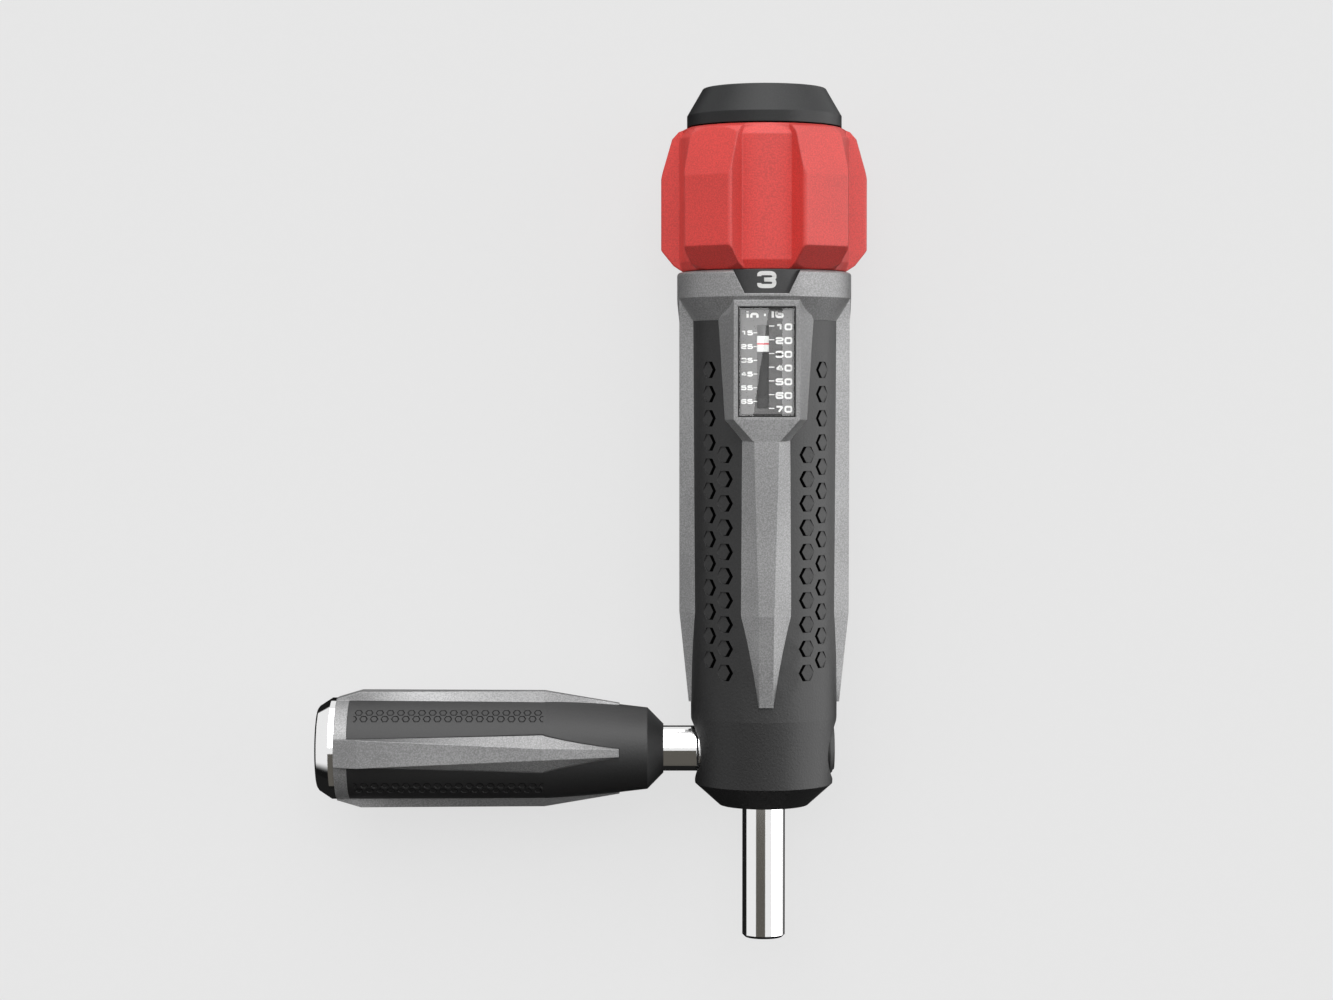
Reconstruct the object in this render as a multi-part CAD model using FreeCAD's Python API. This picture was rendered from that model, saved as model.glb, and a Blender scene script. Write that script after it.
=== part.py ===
"""Adjustable torque screwdriver with a window scale, a lobed setting knob and a screw-in side handle.

The tool is drawn upright: the tip of the drive shaft is at the origin, the main axis runs up Z, the
window faces -Y and the side handle points to -X. Every piece is then laid on its back, so that the
main axis lies along +Y, the window faces up (+Z) and the tool rests as it would on a bench.
Sizes are in millimetres.
"""
import FreeCAD, Part
import math
import os

V = FreeCAD.Vector
Z_AXIS = V(0, 0, 1)
ORIGIN = V(0, 0, 0)

# ---- clearances ----
RUNNING = 0.05            # radial, between a journal and its bore
AXIAL = 0.1               # between faces that turn on each other
SEAT = 0.06               # around a piece that is pressed, moulded or bedded in another
SLIDE = 0.15              # around a guided sliding piece

# ---- setting range: one turn of the knob is ten units of torque ----
TORQUE_MIN, TORQUE_MAX, TORQUE_SET = 10.0, 70.0, 23.0
UNITS_PER_TURN = 10.0
LEAD = 3.0                # travel of the spring nut in one turn
DOWN_TRAVEL = (TORQUE_MAX - TORQUE_SET) / UNITS_PER_TURN * LEAD
UP_TRAVEL = (TORQUE_SET - TORQUE_MIN) / UNITS_PER_TURN * LEAD

# ---- radial build-up, from the lead screw outwards ----
SCREW_R = 6.0
NUT_WALL = 1.3
WIRE_R = 1.75
SPRING_MEAN_R = SCREW_R + NUT_WALL + 0.2 + WIRE_R
SPRING_ROOM = 1.0         # between the coils and the barrel
BARREL_BORE_R = SPRING_MEAN_R + WIRE_R + SPRING_ROOM
BARREL_WALL = 0.9
BARREL_R = BARREL_BORE_R + BARREL_WALL
SHELL_BORE_R = BARREL_R + AXIAL
SHELL_WALL = 1.8
SHELL_R = SHELL_BORE_R + SHELL_WALL
GRIP_THICK_NOSE = 0.66    # grip sleeve outside the shell, at the nose, the shoulder and the top
GRIP_THICK_LOW = 1.6
GRIP_THICK_TOP = 1.9
GRIP_NOSE_R = SHELL_R + GRIP_THICK_NOSE
GRIP_LOW_R = SHELL_R + GRIP_THICK_LOW
GRIP_TOP_R = SHELL_R + GRIP_THICK_TOP
RIB_TOP = SHELL_R + 4.2   # flat top of a rib, from the main axis
COLLAR_R = SHELL_R + 4.7

# ---- drive shaft and its socket ----
SHAFT_R = 4.8
SHAFT_LENGTH = 30.0       # tip to nose
TIP_CHAMFER = 0.6
JOURNAL_R = 4.5
HEX_AF = 6.35             # quarter-inch hexagon
HEX_ROOM = 0.1
HEX_DEPTH = 12.0
MAGNET_R, MAGNET_LENGTH = 2.5, 3.0

# ---- nose, hub and ports ----
NOSE_Z = SHAFT_LENGTH
NOSE_BEVEL_HEIGHT = 4.9
NOSE_FACE_R = 10.0
NOSE_WALL = 1.0
NOSE_HOLE_R = SHAFT_R + 0.7
SHOULDER_Z = NOSE_Z + NOSE_WALL
BUSH_FLANGE = 0.9
BUSH_WALL = 1.5
BUSH_R = JOURNAL_R + BUSH_WALL
BUSH_FLANGE_R = BUSH_R + 1.5
HUB_Z = SHOULDER_Z + AXIAL + BUSH_FLANGE
HUB_CHAMFER = 2.5
ROD_R = 5.1               # rod of the side handle
PORT_R = ROD_R + RUNNING
PORT_RISE = 12.6          # port axis above the nose
PORT_Z = NOSE_Z + PORT_RISE
PORT_MOUTH_R = 6.0
PORT_MOUTH_ROUND = 1.0
PORT_FLOOR = BUSH_R + 1.5
HUB_SHOULDER_Z = PORT_Z + PORT_R + 1.25
HUB_SPIGOT = 4.0
HUB_TOP_Z = HUB_SHOULDER_Z + HUB_SPIGOT
SHELL_BOTTOM_Z = HUB_Z + HUB_CHAMFER + 1.5
SHOULDER_LINE_Z = HUB_SHOULDER_Z + 1.0

# ---- slipping clutch ----
THRUST_WASHER = 1.2
CAM_R_GAP = 1.0
CAM_THICK = 4.0
CAM_Z = HUB_TOP_Z + THRUST_WASHER + AXIAL
CAM_TOP_Z = CAM_Z + CAM_THICK
BALL_R = 2.0
BALL_COUNT = 6
BALL_CIRCLE_R = 8.5
BALL_RISE = 0.9           # ball centre above the cam face
CARRIER_GAP = 1.8
CARRIER_Z = CAM_TOP_Z + CARRIER_GAP
CARRIER_THICK = 5.4
CARRIER_TOP_Z = CARRIER_Z + CARRIER_THICK
CARRIER_LUG_WIDTH = 3.0
PILOT_R = 3.5
SPIGOT_HEIGHT = 3.0

# ---- main spring and its nut ----
SPRING_TURNS = 9.5
SPRING_LENGTH = 53.1      # at the torque that is set
NUT_Z = CARRIER_TOP_Z + SPRING_LENGTH
NUT_FLANGE = 3.0
NUT_NECK_WALL = 2.0
POINTER_RISE = 14.7       # pointer line above the nut's lower face
POINTER_Z = NUT_Z + POINTER_RISE
POINTER_STEM = 2.4
NUT_TOP_Z = POINTER_Z + 2.0
SCREW_END_Z = NUT_Z - DOWN_TRAVEL + 1.5
THRUST_COLLAR = 2.5
THRUST_COLLAR_R = SCREW_R + 5.0
THRUST_COLLAR_Z = NUT_TOP_Z + UP_TRAVEL + 0.8
UPPER_WASHER = 1.6
PLATE_Z = THRUST_COLLAR_Z + THRUST_COLLAR + AXIAL + UPPER_WASHER + AXIAL
PLATE_THICK = 4.7
PLATE_TOP_Z = PLATE_Z + PLATE_THICK
SET_SCREW_R = 1.25
SET_SCREW_LENGTH = 3.5
PIN_R = 1.0
PIN_LENGTH = 4.5

# ---- collar, ribs and window bezel of the housing ----
COLLAR_TOP_Z = PLATE_TOP_Z + 0.5
COLLAR_HEIGHT = 5.8
COLLAR_Z = COLLAR_TOP_Z - COLLAR_HEIGHT
COLLAR_ROUND = 0.8
CONE_HEIGHT = 5.1
GRIP_TOP_Z = COLLAR_Z - CONE_HEIGHT
RIB_TIP_Z = NOSE_Z + 23.3
RIB_BEND_Z = RIB_TIP_Z + 20.2
RIB_TIP_RISE = 0.5
RIB_TIP_FLAT = 3.1
RIB_BEND_FLAT, RIB_BEND_BASE = 3.4, 11.0
RIB_TOP_FLAT, RIB_TOP_BASE = 7.1, 10.0
RIB_ROOT, BEZEL_ROOT = 1.0, 1.5     # how far they run in under the shell's bore, which trims them
WINDOW_WIDTH = 12.5
SCALE_TOP_Z = POINTER_Z + UP_TRAVEL
SCALE_LOW_Z = POINTER_Z - DOWN_TRAVEL
WINDOW_Z = SCALE_LOW_Z - 1.9
WINDOW_TOP_Z = SCALE_TOP_Z + 4.15
BEZEL_FACE = SHELL_R + 4.5
BEZEL_BORDER = 1.0
BEZEL_HALF = WINDOW_WIDTH / 2 + BEZEL_BORDER
BEZEL_Z = WINDOW_Z - 0.6
BEZEL_TOP_Z = WINDOW_TOP_Z + 1.45
BEZEL_CORNER = 3.2        # the flanks run in to the face over this height under the collar
BEZEL_CORNER_Z = BEZEL_TOP_Z - BEZEL_CORNER
BEZEL_LOW_SPREAD, BEZEL_TOP_SPREAD, BEZEL_END_SPREAD = 1.82, 3.3, 0.2
BEZEL_TAPER = 4.7
BEZEL_TAPER_Z = BEZEL_Z - BEZEL_TAPER
BEZEL_TAPER_FLAT, BEZEL_TAPER_BASE = 6.1, 10.4
NOTCH_HALF_TOP, NOTCH_HALF_LOW = 7.4, 4.86
NOTCH_Z = COLLAR_Z + 0.6

# ---- window pieces, measured inwards from the bezel face ----
GASKET_LIP = 0.3
GASKET_LEDGE = 0.65
LENS_THICK = 0.95
LENS_DEPTH = 0.3
PLATE_SHEET = 0.4
PLATE_DEPTH = LENS_DEPTH + LENS_THICK + 0.85
WINDOW_FLOOR = BEZEL_FACE - PLATE_DEPTH - PLATE_SHEET
SLOT_WIDTH = 2.65
SLOT_SHIFT = -0.8         # the slot stands left of the middle
POINTER_WIDTH, POINTER_HEIGHT, POINTER_THICK = 3.0, 3.45, 0.8

# ---- grip pockets ----
POCKET_AF = 3.58
POCKET_DEPTH = 0.7
POCKET_PITCH = 5.35
POCKET_LOW_Z = RIB_TIP_Z + 7.5
POCKET_COLUMNS = ((33.35, 0.0, 10), (48.75, 0.5, 13))   # angle from the rib, offset in pitches, count

# ---- knob and units dial ----
DIAL_R = COLLAR_R - 1.3
DIAL_WALL = 1.7
DIAL_ROOM = 0.2
DIAL_FLANGE = 1.5
DIAL_FLANGE_R = DIAL_R - 0.8
KNOB_Z = COLLAR_TOP_Z + 0.2
KNOB_CORE = COLLAR_R - 0.55
LOBE_RISE = 3.51          # lobe flat above the flute floor
LOBE_FLAT = KNOB_CORE + LOBE_RISE
LOBE_COUNT = 5
LOBE_HALF = 6.3
FLUTE_HALF = 5.35
KNOB_HEIGHT = 31.9
KNOB_TOP_Z = KNOB_Z + KNOB_HEIGHT
KNOB_LOW_TAPER, KNOB_TOP_TAPER = 5.05, 11.4     # height of the lobes' end facets
KNOB_LOW_FULL_Z = KNOB_Z + KNOB_LOW_TAPER
KNOB_TOP_FULL_Z = KNOB_TOP_Z - KNOB_TOP_TAPER
KNOB_LOW_FACET = KNOB_CORE - 0.75               # the facets' distance from the axis at the end faces
KNOB_TOP_FACET = KNOB_CORE
KNOB_LOW_RING, KNOB_TOP_RING = 2.0, 2.4         # tapered bands that close the flutes
KNOB_LOW_FACE_R = KNOB_CORE - 0.7
KNOB_TOP_FACE_R = KNOB_CORE - 1.65
KNOB_CORNER, KNOB_CORNER_R = 1.5, KNOB_CORE + 1.6       # cone that trims the lobes at the lower face
KNOB_CROWN, KNOB_CROWN_R = 0.7, KNOB_CORE + 0.25        # and the one at the upper face
KNOB_EDGE_R = 0.8
WEB_HEIGHT = 14.3         # from the knob's lower face to the seat of its nut
WEB_TOP_Z = KNOB_Z + WEB_HEIGHT
KNOB_DRIVE_R = SCREW_R - 0.5
KNOB_DRIVE_FLAT = 4.6
NUT_THREAD_R = 4.0
KNOB_NUT_AF, KNOB_NUT_HEIGHT = 13.0, 5.0
KNOB_WASHER_R, KNOB_WASHER = 8.5, 1.0
DIAL_SCREW_R, DIAL_SCREW_HEAD_R, DIAL_SCREW_LENGTH = 1.0, 1.9, 6.0
DIAL_SCREW_CIRCLE_R = 13.0
DETENT_BALL_R = 1.5
DETENT_CIRCLE_R = 9.2
DETENT_DIMPLE = 0.25
DETENT_WIRE_R = 0.2
DETENT_TURNS = 3

# ---- palm cap ----
CAP_GAP = 0.3
CAP_Z = KNOB_TOP_Z + CAP_GAP
CAP_R = KNOB_TOP_FACE_R
CAP_BAND = 2.5
CAP_HEIGHT = 8.7
CAP_TOP_R = CAP_R - 3.6
CAP_TOP_Z = CAP_Z + CAP_HEIGHT
CAP_WALL = 1.8
CAP_EDGE_R = 0.6
SKIRT_R = CAP_R - 2.4
SKIRT_DEPTH = 3.9
PIVOT_R = 3.0
CAP_BOSS_R = 6.0
CAP_WASHER = 1.0
SNAP_WIRE = 0.8

# ---- side handle, measured outwards from the main axis ----
HANDLE_NOSE = GRIP_LOW_R + 6.2
HANDLE_NOSE_R = ROD_R + 0.4
HANDLE_BEVEL = 3.6
HANDLE_BEVEL_RISE = 3.66
HANDLE_BEVEL_R = HANDLE_NOSE_R + HANDLE_BEVEL_RISE
HANDLE_TUBE_WALL = 2.5
HANDLE_CORE_R = ROD_R + HANDLE_TUBE_WALL
HANDLE_NECK_LENGTH = 9.9
HANDLE_NECK = HANDLE_NOSE + HANDLE_NECK_LENGTH
HANDLE_NECK_R = HANDLE_BEVEL_R + 0.74
HANDLE_GRIP_THICK = 3.9
HANDLE_TAPER_LENGTH = 16.5
HANDLE_BEND = HANDLE_NECK + HANDLE_TAPER_LENGTH
HANDLE_GRIP_R = HANDLE_CORE_R + HANDLE_GRIP_THICK
HANDLE_RIB_RISE = 1.5
HANDLE_RIB_TOP = HANDLE_GRIP_R + HANDLE_RIB_RISE
HANDLE_LENGTH = 73.3
HANDLE_END = HANDLE_NOSE + HANDLE_LENGTH
HANDLE_RIB_RUNOUT = 5.4
HANDLE_RIB_END = HANDLE_END - HANDLE_RIB_RUNOUT
HANDLE_FLANGE = 2.9
HANDLE_TIP_FLAT = 1.8
HANDLE_BEND_FLAT, HANDLE_BEND_BASE = 2.6, 8.1
HANDLE_END_FLAT = 6.3
END_CAP_R = HANDLE_GRIP_R - 0.1
END_CAP_BAND, END_CAP_CHAMFER, END_CAP_RAISE = 1.2, 2.8, 0.4
END_CAP_DROP = 1.84       # of the chamfer, towards the axis
END_CAP_FACE_EDGE = 0.6
END_CAP_SPIGOT = 1.2
HANDLE_RECESS_R = 6.6
HANDLE_RECESS = 8.0
TIE_R = 3.0
HANDLE_WASHER = 1.2
HANDLE_NUT_AF, HANDLE_NUT = 10.0, 4.5

# ---- port plug ----
PLUG_HEAD_R = PORT_MOUTH_R - 0.1
PLUG_RIDGES = 3


def revolved(points):
    """Solid of revolution about Z from (radius, height) points."""
    wire = Part.makePolygon([V(r, 0, z) for r, z in points] + [V(points[0][0], 0, points[0][1])])
    return Part.Face(wire).revolve(ORIGIN, Z_AXIS, 360)


def cylinder(radius, low, high):
    return Part.makeCylinder(radius, high - low, V(0, 0, low))


def ring(inner, outer, low, high):
    return revolved([(inner, low), (outer, low), (outer, high), (inner, high)])


def block(x0, x1, y0, y1, z0, z1):
    return Part.makeBox(x1 - x0, y1 - y0, z1 - z0, V(x0, y0, z0))


def turned(shape, degrees):
    """Copy turned about the main axis."""
    copy = shape.copy()
    copy.rotate(ORIGIN, Z_AXIS, degrees)
    return copy


def spaced(shape, count, start=0.0):
    """Copies of a shape spaced evenly about the main axis."""
    return [turned(shape, start + 360.0 * i / count) for i in range(count)]


def moved(shape, x, y, z):
    copy = shape.copy()
    copy.translate(V(x, y, z))
    return copy


def hexagon_prism(across_flats, low, high):
    """Hexagonal prism about Z with flats facing -Y and +Y."""
    corner = across_flats / math.sqrt(3)
    points = [V(corner * math.cos(math.radians(60 * i)), corner * math.sin(math.radians(60 * i)), low)
              for i in range(7)]
    return Part.Face(Part.makePolygon(points)).extrude(V(0, 0, high - low))


def fused(shapes):
    return shapes[0].fuse(shapes[1:]).removeSplitter()


def helix_spring(mean_r, wire_r, turns, low, high):
    """Round-wire spring with ends ground flat at low and high."""
    height = high - low
    path = Part.makeHelix(height / turns, height, mean_r)
    section = Part.Wire(Part.makeCircle(wire_r, V(mean_r, 0, 0), V(0, 1, 0)))
    coil = Part.Wire(path.Edges).makePipeShell([section], True, True)
    coil.translate(V(0, 0, low))
    return coil.common(ring(mean_r - 2 * wire_r, mean_r + 2 * wire_r, low, high))


def rib_section(height, top, flat, base, surface_r, depth):
    """Closed six-point section of a flat-topped rib with sloping flanks, facing -Y.

    The flanks meet the round surface of radius surface_r at the base width, run on below it and
    then drop straight to the given depth.
    """
    surface = math.sqrt(surface_r ** 2 - (base / 2) ** 2)
    below = 0.5
    reach = (top - surface + below) / (top - surface)
    foot = flat / 2 + (base - flat) / 2 * reach
    outline = [(flat / 2, top), (foot, surface - below), (foot, depth)]
    outline += [(-x, y) for x, y in reversed(outline)]
    points = [V(x, -y, height) for x, y in outline]
    return Part.makePolygon(points + points[:1])


def lofted(sections):
    return Part.makeLoft(sections, True, True)


# ---------------------------------------------------------------- housing

def grip_radius(height):
    """Outer radius of the grip sleeve above its shoulder line."""
    share = (height - SHOULDER_LINE_Z) / (GRIP_TOP_Z - SHOULDER_LINE_Z)
    return GRIP_LOW_R + (GRIP_TOP_R - GRIP_LOW_R) * share


def body_rib(high_z, high_flat, high_base):
    """Rib facing -Y, from its blunt tip over the bend up to high_z."""
    depth = SHELL_BORE_R - RIB_ROOT
    tip_r = grip_radius(RIB_TIP_Z)
    sections = [
        rib_section(RIB_TIP_Z, tip_r + RIB_TIP_RISE, RIB_TIP_FLAT, RIB_TIP_FLAT + 0.2, tip_r, depth),
        rib_section(RIB_BEND_Z, RIB_TOP, RIB_BEND_FLAT, RIB_BEND_BASE, grip_radius(RIB_BEND_Z), depth),
        rib_section(high_z, RIB_TOP, high_flat, high_base, GRIP_TOP_R, depth),
    ]
    return lofted(sections)


def long_rib():
    """Rib that runs up into the collar, where its flat top rounds off to the collar's radius."""
    rib = body_rib(GRIP_TOP_Z, RIB_TOP_FLAT, RIB_TOP_BASE)
    depth = SHELL_BORE_R - RIB_ROOT
    edge_r = math.hypot(RIB_TOP, RIB_TOP_FLAT / 2)
    head = lofted([
        rib_section(GRIP_TOP_Z, RIB_TOP, RIB_TOP_FLAT, RIB_TOP_BASE, GRIP_TOP_R, depth),
        rib_section(COLLAR_Z + 1.0, COLLAR_R + 0.2, RIB_TOP_FLAT, RIB_TOP_BASE, GRIP_TOP_R, depth),
    ])
    envelope = revolved([(0, GRIP_TOP_Z), (edge_r, GRIP_TOP_Z), (COLLAR_R, COLLAR_Z),
                         (COLLAR_R, COLLAR_Z + 2.0), (0, COLLAR_Z + 2.0)])
    return fused([rib, head.common(envelope)])


def front_rib():
    """Rib below the window; it ends where the bezel's taper starts."""
    share = (BEZEL_TAPER_Z - RIB_BEND_Z) / (GRIP_TOP_Z - RIB_BEND_Z)
    flat = RIB_BEND_FLAT + (RIB_TOP_FLAT - RIB_BEND_FLAT) * share
    base = RIB_BEND_BASE + (RIB_TOP_BASE - RIB_BEND_BASE) * share
    return body_rib(BEZEL_TAPER_Z, flat, base)


def bezel():
    """Flat frame around the window. It tapers into the front rib below, and its flanks end in corners above."""
    full = 2 * BEZEL_HALF

    def section(height, top, flat, base):
        return rib_section(height, top, flat, base, grip_radius(height), SHELL_BORE_R - BEZEL_ROOT)

    return lofted([
        section(BEZEL_TAPER_Z, RIB_TOP, BEZEL_TAPER_FLAT, BEZEL_TAPER_BASE),
        section(BEZEL_Z, BEZEL_FACE, full, full + 2 * BEZEL_LOW_SPREAD),
        section(BEZEL_CORNER_Z, BEZEL_FACE, full, full + 2 * BEZEL_TOP_SPREAD),
        section(BEZEL_TOP_Z, BEZEL_FACE, full, full + 2 * BEZEL_END_SPREAD),
    ])


def collar():
    """Band round the top of the housing, with the cone below it and a rounded upper edge."""
    inner = SHELL_R - 0.5
    band = revolved([(inner, GRIP_TOP_Z), (GRIP_TOP_R, GRIP_TOP_Z), (COLLAR_R, COLLAR_Z),
                     (COLLAR_R, COLLAR_TOP_Z), (inner, COLLAR_TOP_Z)])
    rim = [e for e in band.Edges
           if abs(e.BoundBox.ZMin - COLLAR_TOP_Z) < 1e-6 and abs(e.BoundBox.ZMax - COLLAR_TOP_Z) < 1e-6
           and e.BoundBox.XMax > COLLAR_R - 0.1]
    return band.makeFillet(COLLAR_ROUND, rim)


def dial_notch():
    """Opening in the front of the collar that shows one figure of the units dial."""
    slope = (NOTCH_HALF_TOP - NOTCH_HALF_LOW) / (COLLAR_TOP_Z - NOTCH_Z)
    high_half = NOTCH_HALF_TOP + slope
    near = COLLAR_R + 2.0
    points = [V(-NOTCH_HALF_LOW, -near, NOTCH_Z), V(NOTCH_HALF_LOW, -near, NOTCH_Z),
              V(high_half, -near, COLLAR_TOP_Z + 1.0), V(-high_half, -near, COLLAR_TOP_Z + 1.0)]
    face = Part.Face(Part.makePolygon(points + points[:1]))
    return face.extrude(V(0, near - DIAL_R + DIAL_WALL, 0))


def port_mouths():
    """Cross bore that opens the two ports of the side handle, left and right."""
    return Part.makeCylinder(PORT_MOUTH_R, 2 * COLLAR_R, V(-COLLAR_R, 0, PORT_Z), V(1, 0, 0))


def housing_shell():
    tube = ring(SHELL_BORE_R, SHELL_R, SHELL_BOTTOM_Z, COLLAR_TOP_Z)
    ribs = [turned(long_rib(), angle) for angle in (90, 180, 270)]
    shell = fused([tube, collar(), front_rib(), bezel()] + ribs)
    window = block(-WINDOW_WIDTH / 2 - SEAT, WINDOW_WIDTH / 2 + SEAT, -BEZEL_FACE - 1.0, -WINDOW_FLOOR,
                   WINDOW_Z - SEAT, WINDOW_TOP_Z + SEAT)
    travel = block(SLOT_SHIFT - POINTER_WIDTH / 2 - 0.5, SLOT_SHIFT + POINTER_WIDTH / 2 + 0.5,
                   -WINDOW_FLOOR - 0.5, 0,
                   SCALE_LOW_Z - POINTER_HEIGHT / 2 - 0.4, SCALE_TOP_Z + POINTER_HEIGHT / 2 + 0.4)
    groove = ring(DIAL_R - DIAL_WALL - DIAL_ROOM, DIAL_R + DIAL_ROOM, COLLAR_Z + 0.1, COLLAR_TOP_Z + 1.0)
    bore = cylinder(SHELL_BORE_R, SHELL_BOTTOM_Z - 1.0, COLLAR_TOP_Z + 1.0)
    return shell.cut([bore, window, travel, groove, dial_notch(), port_mouths()])


def hex_pocket(angle, height):
    """Flat-cut hexagon that sinks into the grip on the side of the front rib and fades out beyond."""
    radius = grip_radius(height)
    half = POCKET_AF / math.sqrt(3)
    sag = radius - math.sqrt(radius ** 2 - half ** 2)
    corners = []
    for i in range(6):
        t = half * math.cos(math.radians(60 * i))
        z = height + half * math.sin(math.radians(60 * i))
        floor = radius - sag - POCKET_DEPTH * (half - t) / (2 * half)
        corners.append(V(t, -floor, z))
    pocket = Part.Face(Part.makePolygon(corners + corners[:1])).extrude(V(0, -3.0, 0))
    return turned(pocket, angle)


def hex_pockets():
    """Two staggered columns of pockets on each of the four grip panels."""
    right = [hex_pocket(angle, POCKET_LOW_Z + (offset + i) * POCKET_PITCH)
             for angle, offset, count in POCKET_COLUMNS for i in range(count)]
    left = [p.mirror(ORIGIN, V(1, 0, 0)) for p in right]
    front = right + left
    back = [p.mirror(ORIGIN, V(0, 1, 0)) for p in front]
    return front + back


def sleeve_outside():
    """Outer form of the grip with its two port mouths rounded over."""
    form = revolved([(0, NOSE_Z), (NOSE_FACE_R, NOSE_Z), (GRIP_NOSE_R, NOSE_Z + NOSE_BEVEL_HEIGHT),
                     (GRIP_LOW_R, SHOULDER_LINE_Z), (GRIP_TOP_R, GRIP_TOP_Z), (0, GRIP_TOP_Z)])
    form = form.cut(port_mouths())
    mouths = [e for e in form.Edges
              if abs(e.BoundBox.ZLength - 2 * PORT_MOUTH_R) < 0.2 and e.BoundBox.XLength < 3.0]
    return form.makeFillet(PORT_MOUTH_ROUND, mouths)


def sleeve_inside():
    """Room for the bush flange, the hub and the shell."""
    flange_r = BUSH_FLANGE_R + SEAT
    hub_r = BARREL_R + SEAT
    bottom = HUB_Z - SEAT
    return revolved([(0, NOSE_Z - 1.0), (NOSE_HOLE_R, NOSE_Z - 1.0), (NOSE_HOLE_R, SHOULDER_Z + 0.05),
                     (flange_r, SHOULDER_Z + 0.05), (flange_r, bottom), (hub_r - HUB_CHAMFER, bottom),
                     (hub_r, bottom + HUB_CHAMFER), (hub_r, SHELL_BOTTOM_Z - SEAT),
                     (SHELL_R + SEAT, SHELL_BOTTOM_Z - SEAT), (SHELL_R + SEAT, GRIP_TOP_Z + 1.0),
                     (0, GRIP_TOP_Z + 1.0)])


def grip_sleeve():
    ribs = [turned(body_rib(GRIP_TOP_Z, RIB_TOP_FLAT, RIB_TOP_BASE), angle) for angle in (90, 180, 270)]
    return sleeve_outside().cut([sleeve_inside(), front_rib(), bezel()] + ribs + hex_pockets())


def window_frame(margin, inner, near, far):
    """Rectangular frame of the window's size, between two depths below the bezel face."""
    outer = block(-WINDOW_WIDTH / 2 + margin, WINDOW_WIDTH / 2 - margin, -BEZEL_FACE + near, -BEZEL_FACE + far,
                  WINDOW_Z + margin, WINDOW_TOP_Z - margin)
    return outer if inner is None else outer.cut(window_frame(margin + inner, None, near - 1.0, far + 1.0))


def window_gasket():
    """Black frame with a ledge behind the lens; it also clamps the scale plate."""
    lip = window_frame(0, GASKET_LIP, LENS_DEPTH, LENS_DEPTH + LENS_THICK)
    ledge = window_frame(0, GASKET_LEDGE, LENS_DEPTH + LENS_THICK, PLATE_DEPTH)
    return fused([lip, ledge])


def window_lens():
    return window_frame(GASKET_LIP, None, LENS_DEPTH, LENS_DEPTH + LENS_THICK)


def scale_plate():
    """Sheet behind the lens with the pointer's slot."""
    sheet = window_frame(0, None, PLATE_DEPTH, PLATE_DEPTH + PLATE_SHEET)
    slot = block(SLOT_SHIFT - SLOT_WIDTH / 2, SLOT_SHIFT + SLOT_WIDTH / 2, -BEZEL_FACE, 0,
                 SCALE_LOW_Z, SCALE_TOP_Z + 0.2)
    return sheet.cut(slot)


def pin_places():
    return [45 + 180 * i for i in range(2)]


def barrel():
    """Steel tube that holds the clutch and the spring, slotted for the pointer and the carrier lugs."""
    tube = ring(BARREL_BORE_R, BARREL_R, HUB_SHOULDER_Z, PLATE_TOP_Z)
    stem_half = POINTER_STEM / 2 + 0.4
    slot = block(SLOT_SHIFT - stem_half, SLOT_SHIFT + stem_half, -BARREL_R - 1.0, 0,
                 SCALE_LOW_Z - stem_half, SCALE_TOP_Z + stem_half)
    lug_half = CARRIER_LUG_WIDTH / 2 + SLIDE
    lugs = block(-BARREL_R - 1.0, BARREL_R + 1.0, -lug_half, lug_half, CARRIER_Z - SLIDE,
                 CARRIER_TOP_Z + 2.0)
    holes = [radial_hole(PIN_R + SEAT, BARREL_BORE_R - 1.0, BARREL_R + 1.0, pin_height(), a)
             for a in pin_places()]
    holes += [radial_hole(SET_SCREW_R + SEAT, BARREL_BORE_R - 1.0, BARREL_R + 1.0, set_screw_height(), a)
              for a in set_screw_places()]
    return tube.cut([slot, lugs] + holes)


def radial_hole(radius, inner, outer, height, angle):
    """Cylinder along a radius of the tool, facing the given angle from -Y."""
    return turned(Part.makeCylinder(radius, outer - inner, V(0, -inner, height), V(0, -1, 0)), angle)


def pin_height():
    return HUB_SHOULDER_Z + HUB_SPIGOT / 2


def set_screw_height():
    return PLATE_Z + PLATE_THICK / 2


def set_screw_places():
    return [60 + 120 * i for i in range(3)]


def barrel_pins():
    return Part.makeCompound([radial_hole(PIN_R, BARREL_R - PIN_LENGTH, BARREL_R, pin_height(), a)
                              for a in pin_places()])


def plate_screws():
    """Set screws through the barrel into the top bearing plate, with hexagon sockets."""
    socket = hexagon_prism(1.3, 0, 1.5)
    socket.rotate(ORIGIN, V(1, 0, 0), 90)
    socket.translate(V(0, -BARREL_R + 1.2, set_screw_height()))
    screw = radial_hole(SET_SCREW_R, BARREL_R - SET_SCREW_LENGTH, BARREL_R, set_screw_height(), 0)
    return Part.makeCompound([turned(screw.cut(socket), a) for a in set_screw_places()])


def socket_hub():
    """Metal hub in the nose: it carries the shaft bush and takes the rod of the side handle."""
    body = revolved([(BUSH_R + SEAT, HUB_Z), (BARREL_R - HUB_CHAMFER, HUB_Z), (BARREL_R, HUB_Z + HUB_CHAMFER),
                     (BARREL_R, HUB_SHOULDER_Z), (BARREL_BORE_R - SEAT, HUB_SHOULDER_Z),
                     (BARREL_BORE_R - SEAT, HUB_TOP_Z), (BUSH_R + SEAT, HUB_TOP_Z)])
    ports = [Part.makeCylinder(PORT_R, BARREL_R, V(side * PORT_FLOOR, 0, PORT_Z), V(side, 0, 0))
             for side in (-1, 1)]
    holes = [radial_hole(PIN_R + SEAT, BARREL_R - PIN_LENGTH - SEAT, BARREL_R + 1.0, pin_height(), a)
             for a in pin_places()]
    return body.cut(ports + holes)


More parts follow.
